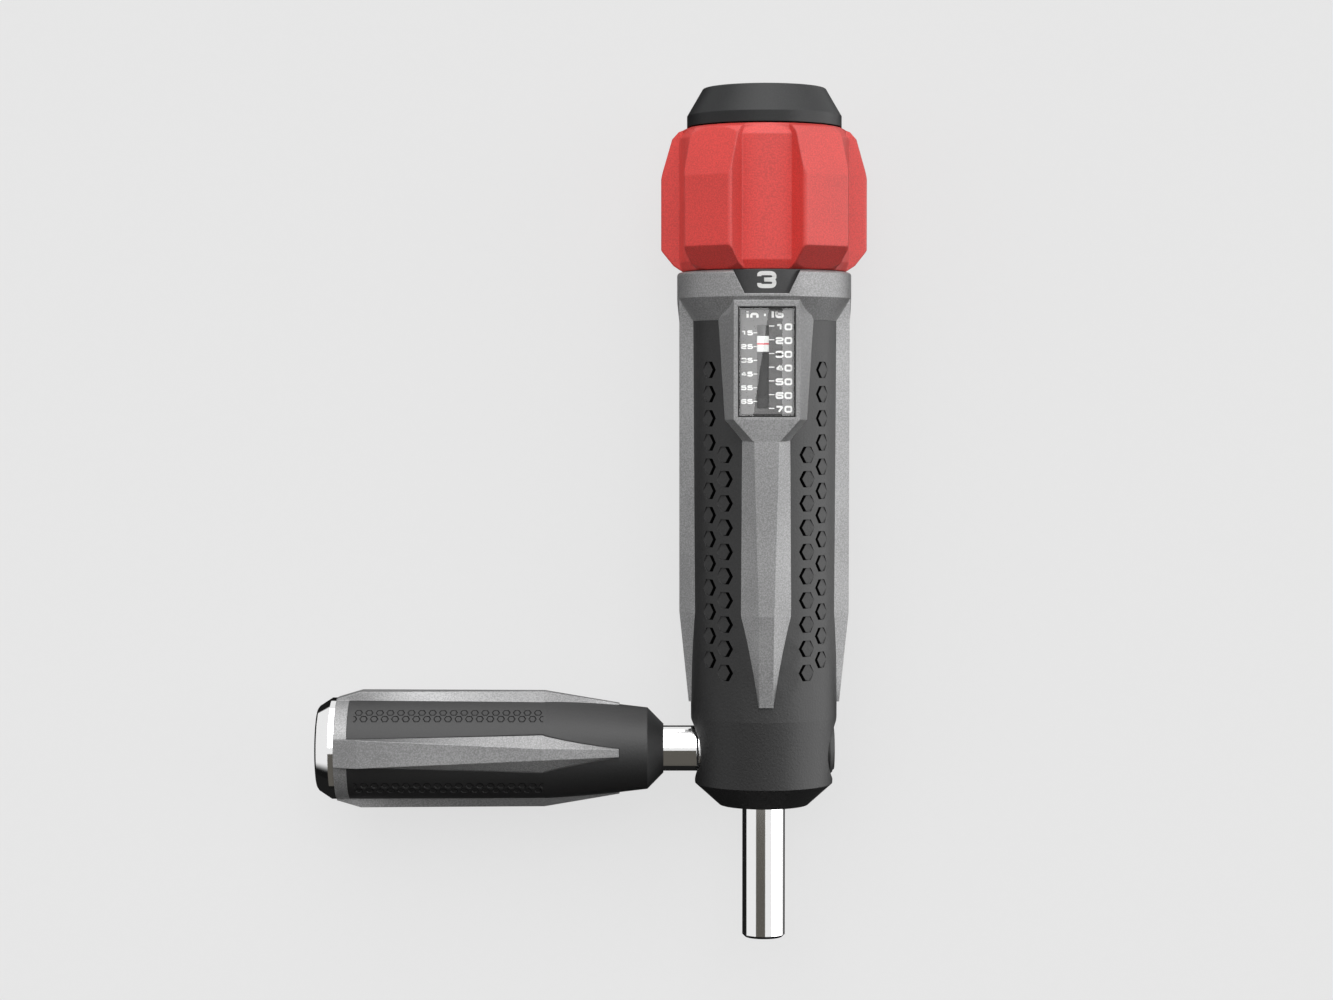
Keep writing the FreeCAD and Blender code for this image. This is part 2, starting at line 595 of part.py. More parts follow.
def nose_bush():
    bore_r = JOURNAL_R + RUNNING
    return revolved([(bore_r, SHOULDER_Z + AXIAL), (BUSH_FLANGE_R, SHOULDER_Z + AXIAL), (BUSH_FLANGE_R, HUB_Z),
                     (BUSH_R, HUB_Z), (BUSH_R, HUB_TOP_Z), (bore_r, HUB_TOP_Z)])


def port_plug():
    """Rubber plug with ring ridges on its face, closing the port that is not in use."""
    stem_end = PORT_FLOOR + 0.5
    face = SHELL_R + 0.6
    profile = [(0, stem_end), (PORT_R - SEAT - 0.4, stem_end), (PORT_R - SEAT, stem_end + 0.6),
               (PORT_R - SEAT, BARREL_R + SEAT), (PLUG_HEAD_R, BARREL_R + SEAT), (PLUG_HEAD_R, face - 0.6),
               (PLUG_HEAD_R - 0.6, face)]
    ridge = (PLUG_HEAD_R - 1.2) / PLUG_RIDGES
    for i in range(PLUG_RIDGES - 1):
        outer = PLUG_HEAD_R - 0.9 - i * ridge
        profile += [(outer, face), (outer - 0.3, face + 0.4), (outer - 0.7, face + 0.4), (outer - 1.0, face)]
    profile.append((0, face))
    plug = revolved(profile)
    plug.rotate(ORIGIN, V(0, 1, 0), 90)
    return moved(plug, 0, 0, PORT_Z)


def lower_washer():
    return ring(JOURNAL_R + 1.0, BARREL_BORE_R - 0.5, HUB_TOP_Z, HUB_TOP_Z + THRUST_WASHER)


def ball_height():
    return CAM_TOP_Z + BALL_RISE


def clutch_balls():
    ball = Part.makeSphere(BALL_R, V(0, -BALL_CIRCLE_R, ball_height()))
    return Part.makeCompound(spaced(ball, BALL_COUNT))


def ball_carrier():
    """Pressure plate: ball seats below, two side lugs in the barrel slots, and a spigot in the spring."""
    spigot_r = SPRING_MEAN_R - WIRE_R - 0.3
    plate = revolved([(PILOT_R + SLIDE, CARRIER_Z), (BARREL_BORE_R - SLIDE, CARRIER_Z),
                      (BARREL_BORE_R - SLIDE, CARRIER_TOP_Z), (spigot_r, CARRIER_TOP_Z),
                      (spigot_r, CARRIER_TOP_Z + SPIGOT_HEIGHT), (PILOT_R + SLIDE, CARRIER_TOP_Z + SPIGOT_HEIGHT)])
    lugs = block(-BARREL_R, BARREL_R, -CARRIER_LUG_WIDTH / 2, CARRIER_LUG_WIDTH / 2, CARRIER_Z, CARRIER_TOP_Z)
    lugs = lugs.cut(cylinder(BARREL_BORE_R - 1.0, CARRIER_Z - 1.0, CARRIER_TOP_Z + 1.0))
    seat = Part.makeSphere(BALL_R + SEAT, V(0, -BALL_CIRCLE_R, ball_height()))
    return fused([plate] + lugs.Solids).cut(spaced(seat, BALL_COUNT))


def main_spring():
    return helix_spring(SPRING_MEAN_R, WIRE_R, SPRING_TURNS, CARRIER_TOP_Z, NUT_Z)


def upper_washer():
    low = THRUST_COLLAR_Z + THRUST_COLLAR + AXIAL
    return ring(SCREW_R + 0.3, THRUST_COLLAR_R, low, low + UPPER_WASHER)


def detent_place(shape):
    """Moves a shape from the main axis to the detent's bore, in line with a dimple of the dial."""
    return moved(shape, 0, -DETENT_CIRCLE_R, 0)


def detent_bore_floor():
    return PLATE_Z + 0.8


def top_bearing_plate():
    """Plate fixed in the top of the barrel; it carries the lead screw's thrust and journal."""
    plate = ring(SCREW_R + RUNNING, BARREL_BORE_R - SEAT, PLATE_Z, PLATE_TOP_Z)
    holes = [radial_hole(SET_SCREW_R + SEAT, BARREL_R - SET_SCREW_LENGTH - SEAT, BARREL_R, set_screw_height(), a)
             for a in set_screw_places()]
    detent = detent_place(cylinder(DETENT_BALL_R + SEAT, detent_bore_floor(), PLATE_TOP_Z + 1.0))
    return plate.cut(holes + [detent])


def detent_ball_height():
    """Centre of the ball that bears on the underside of the dial's flange."""
    return KNOB_Z - SEAT - DETENT_BALL_R


def detent_ball():
    return detent_place(Part.makeSphere(DETENT_BALL_R, V(0, 0, detent_ball_height())))


def detent_spring():
    coil_r = DETENT_BALL_R - DETENT_WIRE_R - 0.3
    inner_r = coil_r - DETENT_WIRE_R
    touch = detent_ball_height() - math.sqrt(DETENT_BALL_R ** 2 - inner_r ** 2)
    return detent_place(helix_spring(coil_r, DETENT_WIRE_R, DETENT_TURNS, detent_bore_floor(), touch))


# ---------------------------------------------------------------- drive

def drive_shaft():
    """Shaft with the bit socket at its tip, its journal in the nose and the pocketed cam plate."""
    cam_r = BARREL_BORE_R - CAM_R_GAP
    body = revolved([(0, 0), (SHAFT_R - TIP_CHAMFER, 0), (SHAFT_R, TIP_CHAMFER), (SHAFT_R, SHOULDER_Z),
                     (JOURNAL_R, SHOULDER_Z), (JOURNAL_R, CAM_Z), (cam_r, CAM_Z), (cam_r, CAM_TOP_Z),
                     (PILOT_R, CAM_TOP_Z), (PILOT_R, CARRIER_TOP_Z), (0, CARRIER_TOP_Z)])
    socket = hexagon_prism(HEX_AF + HEX_ROOM, -1.0, HEX_DEPTH)
    magnet_bore = cylinder(MAGNET_R + SEAT, 0, HEX_DEPTH + MAGNET_LENGTH)
    pocket = Part.makeSphere(BALL_R + SLIDE, V(0, -BALL_CIRCLE_R, ball_height()))
    return body.cut([socket, magnet_bore] + spaced(pocket, 2 * BALL_COUNT))


def bit_magnet():
    return cylinder(MAGNET_R, HEX_DEPTH, HEX_DEPTH + MAGNET_LENGTH)


# ---------------------------------------------------------------- knob

def knob_outline():
    """Five flat lobes with parallel flanks that run in under the flute floors, one flute facing -Y."""
    floor = math.sqrt(KNOB_CORE ** 2 - FLUTE_HALF ** 2)
    lobe = math.pi / LOBE_COUNT
    foot = (floor * math.cos(lobe) + FLUTE_HALF * math.sin(lobe),
            floor * math.sin(lobe) - FLUTE_HALF * math.cos(lobe))
    root = (foot[0] - KNOB_EDGE_R, foot[1] + (foot[1] - LOBE_HALF) * KNOB_EDGE_R / (LOBE_FLAT - foot[0]))
    corners = [(root[0], -root[1]), (LOBE_FLAT, -LOBE_HALF), (LOBE_FLAT, LOBE_HALF), root]
    points = []
    for i in range(LOBE_COUNT):
        turn = 2 * math.pi * i / LOBE_COUNT + lobe - math.pi / 2
        points += [V(x * math.cos(turn) - y * math.sin(turn), x * math.sin(turn) + y * math.cos(turn), KNOB_Z)
                   for x, y in corners]
    return Part.makePolygon(points + points[:1])


def facet_ring(height, distance):
    """Regular polygon round the axis, with one side facing each lobe."""
    corner = distance / math.cos(math.pi / LOBE_COUNT)
    turns = [2 * math.pi * i / LOBE_COUNT - math.pi / 2 for i in range(LOBE_COUNT)]
    points = [V(corner * math.cos(turn), corner * math.sin(turn), height) for turn in turns]
    return Part.makePolygon(points + points[:1])


def knob_form():
    """Lobes with flat end facets on a round core, whose end bands close the flutes."""
    star = Part.Face(knob_outline()).extrude(V(0, 0, KNOB_HEIGHT))
    form = star.fuse(cylinder(KNOB_CORE, KNOB_Z, KNOB_TOP_Z)).removeSplitter()
    upright = [e for e in form.Edges if e.BoundBox.ZLength > KNOB_HEIGHT / 2]
    form = form.makeFillet(KNOB_EDGE_R, upright)
    facets = lofted([facet_ring(KNOB_Z, KNOB_LOW_FACET), facet_ring(KNOB_LOW_FULL_Z, LOBE_FLAT),
                     facet_ring(KNOB_TOP_FULL_Z, LOBE_FLAT), facet_ring(KNOB_TOP_Z, KNOB_TOP_FACET)])
    low_ring_z, top_ring_z = KNOB_Z + KNOB_LOW_RING, KNOB_TOP_Z - KNOB_TOP_RING
    core = revolved([(0, KNOB_Z), (KNOB_LOW_FACE_R, KNOB_Z), (KNOB_CORE, low_ring_z), (KNOB_CORE, top_ring_z),
                     (KNOB_TOP_FACE_R, KNOB_TOP_Z), (0, KNOB_TOP_Z)])
    wide = math.hypot(LOBE_FLAT, LOBE_HALF) + 0.5
    ends = revolved([(0, KNOB_Z), (KNOB_LOW_FACE_R, KNOB_Z), (KNOB_CORNER_R, KNOB_Z + KNOB_CORNER),
                     (wide, KNOB_Z + KNOB_CORNER), (wide, top_ring_z), (KNOB_CORE + 1.8, top_ring_z),
                     (KNOB_CROWN_R, KNOB_TOP_Z - KNOB_CROWN), (KNOB_TOP_FACE_R, KNOB_TOP_Z), (0, KNOB_TOP_Z)])
    return form.common(facets).common(core.fuse(star)).common(ends)


def drive_flats(room):
    """Bar with two flats that keys the knob to the lead screw."""
    bar = cylinder(KNOB_DRIVE_R + room, KNOB_Z - 1.0, WEB_TOP_Z)
    keep = block(-KNOB_DRIVE_FLAT - room, KNOB_DRIVE_FLAT + room, -COLLAR_R, COLLAR_R, KNOB_Z - 1.0, WEB_TOP_Z)
    return bar.common(keep)


def dial_screw_places(shape):
    return spaced(moved(shape, 0, -DIAL_SCREW_CIRCLE_R, 0), 3, 60)


def adjusting_knob():
    flange_top = KNOB_Z + DIAL_FLANGE
    recess = cylinder(DIAL_FLANGE_R + SEAT, KNOB_Z - 1.0, flange_top)
    well = cylinder(SKIRT_R + 0.3, WEB_TOP_Z, KNOB_TOP_Z + 1.0)
    screw_hole = cylinder(DIAL_SCREW_R + SEAT, flange_top - 0.5, KNOB_Z + DIAL_SCREW_LENGTH + SEAT)
    return knob_form().cut([recess, well, drive_flats(SEAT)] + dial_screw_places(screw_hole))


def units_dial():
    """Ring that carries the figures, hanging from a flange under the knob, with ten detent dimples."""
    flange_top = KNOB_Z + DIAL_FLANGE - SEAT
    dial = revolved([(SCREW_R + 0.5, KNOB_Z), (DIAL_R - DIAL_WALL, KNOB_Z), (DIAL_R - DIAL_WALL, COLLAR_Z + 0.4),
                     (DIAL_R, COLLAR_Z + 0.4), (DIAL_R, KNOB_Z - SEAT), (DIAL_FLANGE_R, KNOB_Z - SEAT),
                     (DIAL_FLANGE_R, flange_top), (SCREW_R + 0.5, flange_top)])
    dimple_r = DETENT_BALL_R + 0.4
    dimple = Part.makeSphere(dimple_r, V(0, -DETENT_CIRCLE_R, KNOB_Z + DETENT_DIMPLE - dimple_r))
    head = Part.makeCone(DIAL_SCREW_HEAD_R + 0.1, DIAL_SCREW_R + 0.1,
                         DIAL_SCREW_HEAD_R - DIAL_SCREW_R, V(0, 0, KNOB_Z))
    shank = cylinder(DIAL_SCREW_R + 0.1, KNOB_Z, flange_top + 1.0)
    return dial.cut(spaced(dimple, int(UNITS_PER_TURN)) + dial_screw_places(head) + dial_screw_places(shank))


def dial_screws():
    head_height = DIAL_SCREW_HEAD_R - DIAL_SCREW_R
    screw = revolved([(0, KNOB_Z + 0.05), (DIAL_SCREW_HEAD_R - 0.05, KNOB_Z + 0.05),
                      (DIAL_SCREW_R, KNOB_Z + head_height), (DIAL_SCREW_R, KNOB_Z + DIAL_SCREW_LENGTH),
                      (0, KNOB_Z + DIAL_SCREW_LENGTH)])
    return Part.makeCompound(dial_screw_places(screw))


def snap_height():
    return CAP_Z - 0.9


def knob_washer_height():
    return WEB_TOP_Z + KNOB_WASHER


def knob_nut_top():
    return knob_washer_height() + KNOB_NUT_HEIGHT


def lead_screw():
    """Screw that drives the spring nut, with thrust collar, keyed stem, nut thread and cap pivot."""
    groove_z = snap_height() - AXIAL
    groove_r = PIVOT_R - 0.4
    thread_end = knob_nut_top() + 0.5
    stem = revolved([(0, SCREW_END_Z), (SCREW_R - 0.8, SCREW_END_Z), (SCREW_R, SCREW_END_Z + 0.8),
                     (SCREW_R, THRUST_COLLAR_Z), (THRUST_COLLAR_R, THRUST_COLLAR_Z),
                     (THRUST_COLLAR_R, THRUST_COLLAR_Z + THRUST_COLLAR), (SCREW_R, THRUST_COLLAR_Z + THRUST_COLLAR),
                     (SCREW_R, KNOB_Z), (0, KNOB_Z)])
    neck = revolved([(0, WEB_TOP_Z), (NUT_THREAD_R, WEB_TOP_Z), (NUT_THREAD_R, thread_end), (PIVOT_R, thread_end),
                     (PIVOT_R, groove_z), (groove_r, groove_z), (groove_r, groove_z + SNAP_WIRE + 2 * AXIAL),
                     (PIVOT_R, groove_z + SNAP_WIRE + 2 * AXIAL), (PIVOT_R, CAP_Z + 2.0), (0, CAP_Z + 2.0)])
    keyed = drive_flats(0).common(cylinder(KNOB_DRIVE_R, KNOB_Z, WEB_TOP_Z))
    return fused([stem, keyed, neck])


def knob_washer():
    return ring(NUT_THREAD_R + SEAT, KNOB_WASHER_R, WEB_TOP_Z, knob_washer_height())


def knob_nut():
    """Hexagon nut with chamfered corners."""
    low, high = knob_washer_height(), knob_nut_top()
    corner = KNOB_NUT_AF / math.sqrt(3)
    chamfer = revolved([(0, low), (corner, low), (corner, high - 0.6), (corner - 1.0, high), (0, high)])
    bore = cylinder(NUT_THREAD_R + SEAT, low - 1.0, high + 1.0)
    return hexagon_prism(KNOB_NUT_AF, low, high).common(chamfer).cut(bore)


def cap_snap_ring():
    """Split ring in the pivot's groove that holds the palm cap on."""
    whole = ring(PIVOT_R - 0.4 + SEAT, PIVOT_R + 0.6, snap_height(), snap_height() + SNAP_WIRE)
    gap = block(-0.7, 0.7, 0, PIVOT_R + 1.0, snap_height() - 1.0, snap_height() + SNAP_WIRE + 1.0)
    return whole.cut(gap)


# ---------------------------------------------------------------- indicator

def spring_nut():
    """Nut that compresses the spring; its neck carries the pointer."""
    spigot_r = SPRING_MEAN_R - WIRE_R - 0.3
    bore_r = SCREW_R + RUNNING
    neck_r = SCREW_R + NUT_NECK_WALL
    body = revolved([(bore_r, NUT_Z - SPIGOT_HEIGHT), (spigot_r, NUT_Z - SPIGOT_HEIGHT), (spigot_r, NUT_Z),
                     (BARREL_BORE_R - SLIDE, NUT_Z), (BARREL_BORE_R - SLIDE, NUT_Z + NUT_FLANGE),
                     (neck_r, NUT_Z + NUT_FLANGE), (neck_r, NUT_TOP_Z), (bore_r, NUT_TOP_Z)])
    half = POINTER_STEM / 2 + SEAT
    mortise = block(SLOT_SHIFT - half, SLOT_SHIFT + half, -neck_r - 1.0, -SCREW_R - NUT_NECK_WALL / 2,
                    POINTER_Z - half, POINTER_Z + half)
    return body.cut(mortise)


def pointer():
    """Flat index behind the scale plate on a square stem."""
    half = POINTER_STEM / 2
    top = WINDOW_FLOOR - AXIAL
    index = block(SLOT_SHIFT - POINTER_WIDTH / 2, SLOT_SHIFT + POINTER_WIDTH / 2, -top, -top + POINTER_THICK,
                  POINTER_Z - POINTER_HEIGHT / 2, POINTER_Z + POINTER_HEIGHT / 2)
    stem = block(SLOT_SHIFT - half, SLOT_SHIFT + half, -top + POINTER_THICK, -SCREW_R - NUT_NECK_WALL / 2 - SEAT,
                 POINTER_Z - half, POINTER_Z + half)
    return fused([index, stem])


# ---------------------------------------------------------------- palm cap

def palm_cap():
    """Shallow domed cap with a centring skirt and a blind boss that turns on the pivot."""
    boss_low = knob_nut_top() + 1.0 + CAP_WASHER
    roof = CAP_TOP_Z - CAP_WALL
    skirt_low = CAP_Z - SKIRT_DEPTH
    shell = revolved([(SKIRT_R - CAP_WALL, skirt_low), (SKIRT_R, skirt_low), (SKIRT_R, CAP_Z), (CAP_R, CAP_Z),
                      (CAP_R, CAP_Z + CAP_BAND), (CAP_TOP_R, CAP_TOP_Z), (0, CAP_TOP_Z), (0, roof),
                      (CAP_TOP_R - CAP_WALL, roof), (SKIRT_R - CAP_WALL, CAP_Z + CAP_BAND)])
    edges = [e for e in shell.Edges if abs(e.BoundBox.ZMin - CAP_TOP_Z) < 1e-6 and e.BoundBox.XMax > CAP_TOP_R - 0.1]
    shell = shell.makeFillet(CAP_EDGE_R, edges)
    boss = cylinder(CAP_BOSS_R, boss_low, roof + 0.5)
    bore = cylinder(PIVOT_R + RUNNING, boss_low - 1.0, CAP_Z + 2.5)
    snap_room = cylinder(PIVOT_R + 0.7, snap_height() - AXIAL, snap_height() + SNAP_WIRE + AXIAL)
    return fused([shell, boss]).cut([bore, snap_room])


def cap_washer():
    low = knob_nut_top() + 1.0 - AXIAL
    return ring(PIVOT_R + RUNNING, CAP_BOSS_R, low, low + CAP_WASHER)


# ---------------------------------------------------------------- side handle

def as_handle(shape):
    """Lays a shape drawn up the Z axis along -X at the height of the port."""
    copy = shape.copy()
    copy.rotate(ORIGIN, V(0, 1, 0), -90)
    return moved(copy, 0, 0, PORT_Z)


def handle_rib():
    depth = HANDLE_CORE_R - 1.0
    bend_z = HANDLE_BEND + 0.3
    sections = [
        rib_section(HANDLE_NECK, HANDLE_NECK_R + 0.3, HANDLE_TIP_FLAT, HANDLE_TIP_FLAT + 0.1, HANDLE_NECK_R, depth),
        rib_section(bend_z, HANDLE_RIB_TOP, HANDLE_BEND_FLAT, HANDLE_BEND_BASE, HANDLE_GRIP_R, depth),
        rib_section(HANDLE_RIB_END, HANDLE_RIB_TOP, HANDLE_END_FLAT, HANDLE_END_FLAT + 0.1, HANDLE_GRIP_R, depth),
        rib_section(HANDLE_END, HANDLE_GRIP_R - 0.1, HANDLE_END_FLAT, HANDLE_END_FLAT + 0.1,
                    HANDLE_GRIP_R - 0.3, depth),
    ]
    return lofted(sections)


def handle_core():
    """Handle moulding: tube, four ribs and the end flange with its recess for the nut."""
    start = HANDLE_NOSE + HANDLE_BEVEL + 0.3
    tube = ring(ROD_R + SEAT, HANDLE_CORE_R, start, HANDLE_END)
    flange = ring(ROD_R + SEAT, HANDLE_GRIP_R, HANDLE_END - HANDLE_FLANGE, HANDLE_END)
    recess = cylinder(HANDLE_RECESS_R, HANDLE_END - HANDLE_RECESS, HANDLE_END + 1.0)
    return as_handle(fused([tube, flange] + spaced(handle_rib(), 4)).cut(recess))


def handle_grip():
    start = HANDLE_NOSE + HANDLE_BEVEL + 0.3
    end = HANDLE_END - HANDLE_FLANGE
    bore = ROD_R + SEAT
    core = HANDLE_CORE_R + SEAT
    body = revolved([(bore, HANDLE_NOSE), (HANDLE_NOSE_R, HANDLE_NOSE), (HANDLE_BEVEL_R, HANDLE_NOSE + HANDLE_BEVEL),
                     (HANDLE_NECK_R, HANDLE_NECK), (HANDLE_GRIP_R, HANDLE_BEND), (HANDLE_GRIP_R, end),
                     (core, end), (core, start - SEAT), (bore, start - SEAT)])
    return as_handle(body.cut(spaced(handle_rib(), 4)))


def tie_shoulder():
    return HANDLE_END - HANDLE_RECESS


def handle_rod():
    """Rod from the hub's port through the whole handle, with a reduced end for the nut."""
    nut_end = tie_shoulder() + HANDLE_WASHER + HANDLE_NUT + 0.6
    end = PORT_FLOOR + 0.2
    return as_handle(revolved([(0, end), (ROD_R - 0.8, end), (ROD_R, end + 0.8), (ROD_R, tie_shoulder()),
                               (TIE_R, tie_shoulder()), (TIE_R, nut_end), (0, nut_end)]))


def handle_washer():
    return as_handle(ring(TIE_R + SEAT, HANDLE_RECESS_R - 0.2, tie_shoulder(), tie_shoulder() + HANDLE_WASHER))


def handle_nut():
    low = tie_shoulder() + HANDLE_WASHER
    return as_handle(hexagon_prism(HANDLE_NUT_AF, low, low + HANDLE_NUT).cut(
        cylinder(TIE_R + SEAT, low - 1.0, low + HANDLE_NUT + 1.0)))


def handle_end_cap():
    """Plated cap with a chamfered rim and a raised face, pressed into the recess."""
    band = HANDLE_END + END_CAP_BAND
    chamfer = band + END_CAP_CHAMFER
    face = chamfer + END_CAP_RAISE
    chamfer_r = END_CAP_R - END_CAP_DROP
    spigot_r = HANDLE_RECESS_R - SEAT
    return as_handle(revolved([(0, HANDLE_END - END_CAP_SPIGOT), (spigot_r, HANDLE_END - END_CAP_SPIGOT),
                               (spigot_r, HANDLE_END), (END_CAP_R, HANDLE_END), (END_CAP_R, band),
                               (chamfer_r, chamfer), (chamfer_r - END_CAP_FACE_EDGE, face), (0, face)]))


PIECES = [
    housing_shell, grip_sleeve, window_gasket, window_lens, scale_plate, barrel, barrel_pins, socket_hub,
    nose_bush, port_plug, lower_washer, clutch_balls, ball_carrier, main_spring, upper_washer,
    top_bearing_plate, plate_screws, detent_ball, detent_spring,
    drive_shaft, bit_magnet,
    adjusting_knob, units_dial, dial_screws, lead_screw, knob_washer, knob_nut, cap_snap_ring,
    spring_nut, pointer,
    palm_cap, cap_washer,
    handle_core, handle_grip, handle_rod, handle_washer, handle_nut, handle_end_cap,
]


def laid_down(shape):
    """Turns the upright tool onto its back: up becomes +Y and the window faces +Z."""
    copy = shape.copy()
    copy.rotate(ORIGIN, V(1, 0, 0), -90)
    return copy


def main():
    os.makedirs("parts", exist_ok=True)
    for piece in PIECES:
        shape = laid_down(piece())
        if not shape.isValid():
            raise RuntimeError(piece.__name__ + " is not a valid shape")
        shape.exportStep("parts/" + piece.__name__ + ".step")
        print("%-18s solids %d  volume %9.1f" % (piece.__name__, len(shape.Solids), shape.Volume))


main()
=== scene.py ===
"""Looks of an adjustable torque screwdriver: finishes, printed scale, dial figures, threaded rod and stage."""

import math

import bmesh
import bpy
import numpy as np
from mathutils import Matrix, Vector


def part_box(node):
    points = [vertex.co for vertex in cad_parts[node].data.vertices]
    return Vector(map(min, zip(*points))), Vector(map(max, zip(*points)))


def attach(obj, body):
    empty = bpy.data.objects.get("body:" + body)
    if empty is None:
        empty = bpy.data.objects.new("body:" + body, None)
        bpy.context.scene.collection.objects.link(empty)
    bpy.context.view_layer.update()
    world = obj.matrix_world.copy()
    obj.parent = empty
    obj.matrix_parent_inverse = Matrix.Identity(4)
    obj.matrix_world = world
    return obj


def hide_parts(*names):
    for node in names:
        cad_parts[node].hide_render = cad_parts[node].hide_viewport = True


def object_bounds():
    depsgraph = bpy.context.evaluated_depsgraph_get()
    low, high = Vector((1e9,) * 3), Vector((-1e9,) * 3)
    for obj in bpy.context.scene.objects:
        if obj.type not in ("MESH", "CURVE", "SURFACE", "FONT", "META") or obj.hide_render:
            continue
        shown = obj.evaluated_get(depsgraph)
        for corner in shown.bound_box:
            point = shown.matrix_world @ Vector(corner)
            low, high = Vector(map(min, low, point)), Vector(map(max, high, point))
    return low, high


bl_info = {
    "name": "Torque Screwdriver Looks",
    "version": (1, 0, 0),
    "blender": (4, 5, 0),
    "location": "View3D > Sidebar > Torque Screwdriver",
    "description": "Finishes, printed figures, thread and studio stage of a torque screwdriver",
    "category": "Object",
}

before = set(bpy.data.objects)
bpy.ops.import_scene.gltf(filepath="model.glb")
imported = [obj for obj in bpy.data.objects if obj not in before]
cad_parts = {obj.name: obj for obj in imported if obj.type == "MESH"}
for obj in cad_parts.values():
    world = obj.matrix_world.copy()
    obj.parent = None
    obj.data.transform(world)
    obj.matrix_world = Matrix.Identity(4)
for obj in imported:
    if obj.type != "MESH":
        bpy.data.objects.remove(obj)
CAD_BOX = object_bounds()
MM = 0.001
PRINT = 0.03 * MM            # height of printed figures above their surface
DIAL_REST = 3                # figure of the dial that stands in the notch at rest

# Grip pockets: the angle of a column from the rib in degrees, its offset in pitches, its count and the width of
# the painted shade along its deep side. POCKET_START is the middle of a column's first pocket, from the sleeve's
# end.
POCKETS = ((33.35, 0.0, 10, 0.95 * MM), (48.75, 0.5, 13, 1.2 * MM))
POCKET_PITCH, POCKET_HALF, POCKET_START = 5.35 * MM, 1.79 * MM, 30.8 * MM
# Margin by which the painted shade reaches past a pocket's outline, and the width over which that painted shade
# fades out towards the pocket's middle.
POCKET_MARGIN, SHADE_FADE = 0.02 * MM, 0.12 * MM
SHADOW_LINE_BAND = (0.2 * MM, 0.1 * MM)     # where the painted shadow line along a pocket's flat starts and is full, from the flat
SHADOW_LINE_FADE = (-0.3 * MM, 1.0 * MM)    # where it starts to fade and is gone, from the pocket's middle
SHADOW_LINE_WEAK, SHADOW_LINE_MORE = 0.3, 0.6      # its strength at the flat towards the cap, and what the tip's flat adds

SLANT = (0.5, 0.866)         # unit vector square to a hexagon's slanted flats: its parts along and across the row

# Handle hexagons: distance along a row, from the middle to a row, half their width over corners, the width of the
# painted shade line at their edge and its softness, the softness of their relief, and the ends of a row from the
# grip's end.
HEX_PITCH, HEX_ROW, HEX_REACH = 2.35 * MM, 0.85 * MM, 0.95 * MM
HEX_RIM, HEX_SOFT, HEX_SLOPE = 0.26 * MM, 0.03 * MM, 0.3 * MM
HEX_SPAN = (1.4 * MM, 43.7 * MM)
HEX_DEPTH, HEX_RIM_SHADE = 0.35 * MM, 0.9    # depth of their relief, and how dark the painted shade line at their edges is

# Grain of mouldings and rubber: cycles per metre of the fine grain, the broad mottling and the rubber's relief.
GRAIN, MOTTLE, RUBBER_GRAIN = 3200.0, 55.0, 1800.0
MOTTLE_SHARE = 0.25          # of the mottling in the mix of both
GRAIN_BAND = (0.35, 0.65)    # of the mix, over which the tone goes from dark to light
MARKS, MARK_STRETCH = 900.0, 7       # cycles per metre of the fine marks on machined metal, and how much closer
                                     # they follow along the tool
RUBBER_HEIGHT = 0.06         # relief of rubber, in millimetres

# Small moulded and rubber pieces: material, colour, finish and nodes.
SMALL_MOULDINGS = (
    ("black_rubber", (0.007, 0.007, 0.007), {"Roughness": 0.6}, ("window_gasket", "port_plug")),
    ("black_moulding", (0.018, 0.018, 0.019), {"Roughness": 0.4}, ("units_dial",)),
    ("white_moulding", (0.72, 0.74, 0.72), {"contrast": 0.04, "Roughness": 0.5}, ("pointer", "cap_washer")),
)

# Machined metals: material, colour, roughness and nodes.
METALS = (
    ("steel", (0.35, 0.35, 0.35), 0.32,
     ("barrel", "barrel_pins", "socket_hub", "ball_carrier", "top_bearing_plate", "lead_screw", "knob_washer",
      "knob_nut", "handle_washer", "handle_nut")),
    ("bright_steel", (0.6, 0.6, 0.6), 0.15, ("clutch_balls", "detent_ball", "bit_magnet")),
    ("black_steel", (0.05, 0.05, 0.05), 0.4, ("plate_screws", "dial_screws", "spring_nut")),
    ("spring_steel", (0.25, 0.25, 0.27), 0.28, ("main_spring", "detent_spring", "cap_snap_ring")),
    ("bronze", (0.45, 0.28, 0.10), 0.3, ("nose_bush", "lower_washer", "upper_washer")),
)

# Printed scale: x of the middle, cell width, stroke and gap of each group of figures, and the ends of its ticks.
MAIN_FIGURES = (3.8 * MM, 1.75 * MM, 0.42 * MM, 0.2 * MM)
SIDE_FIGURES = (-4.3 * MM, 1.22 * MM, 0.28 * MM, 0.15 * MM)
MAIN_TICK, SIDE_TICK = (0.5 * MM, 1.7 * MM), (-2.9 * MM, -2.05 * MM)
MAIN_DROP, THIN_TICK = 0.2 * MM, 0.8                         # of main figures below their tick; side tick's share
UNIT = (("in", -3.1 * MM), ("-", -0.35 * MM), ("lb", 2.4 * MM))
UNIT_DROP = 1.65 * MM                                        # from the plate's upper end
UNIT_CELL = (1.85 * MM, 1.6 * MM, 0.52 * MM, 0.3 * MM)       # width, height, stroke and gap
REST_READING = 23            # that the pointer shows at rest
LINE_MARGIN, LINE_WIDTH = 0.1 * MM, 0.32 * MM                # of the pointer's line
DIAL_MIDDLE, DIAL_STROKE = 3.2 * MM, 0.92 * MM               # of the dial's figures, from its lower end

# Side handle's rod: the thread's pitch, depth, length and steps, the rod's sides and its thinner tie.
THREAD_PITCH, THREAD_DEPTH, THREAD_LENGTH, THREAD_STEPS = 1.0 * MM, 0.55 * MM, 7.5 * MM, 90
THREAD_RUNOUT = 0.3 * MM
ROD_SIDES, ROD_CHAMFER, TIE_LENGTH, TIE_RADIUS = 48, 0.8 * MM, 6.3 * MM, 3.0 * MM

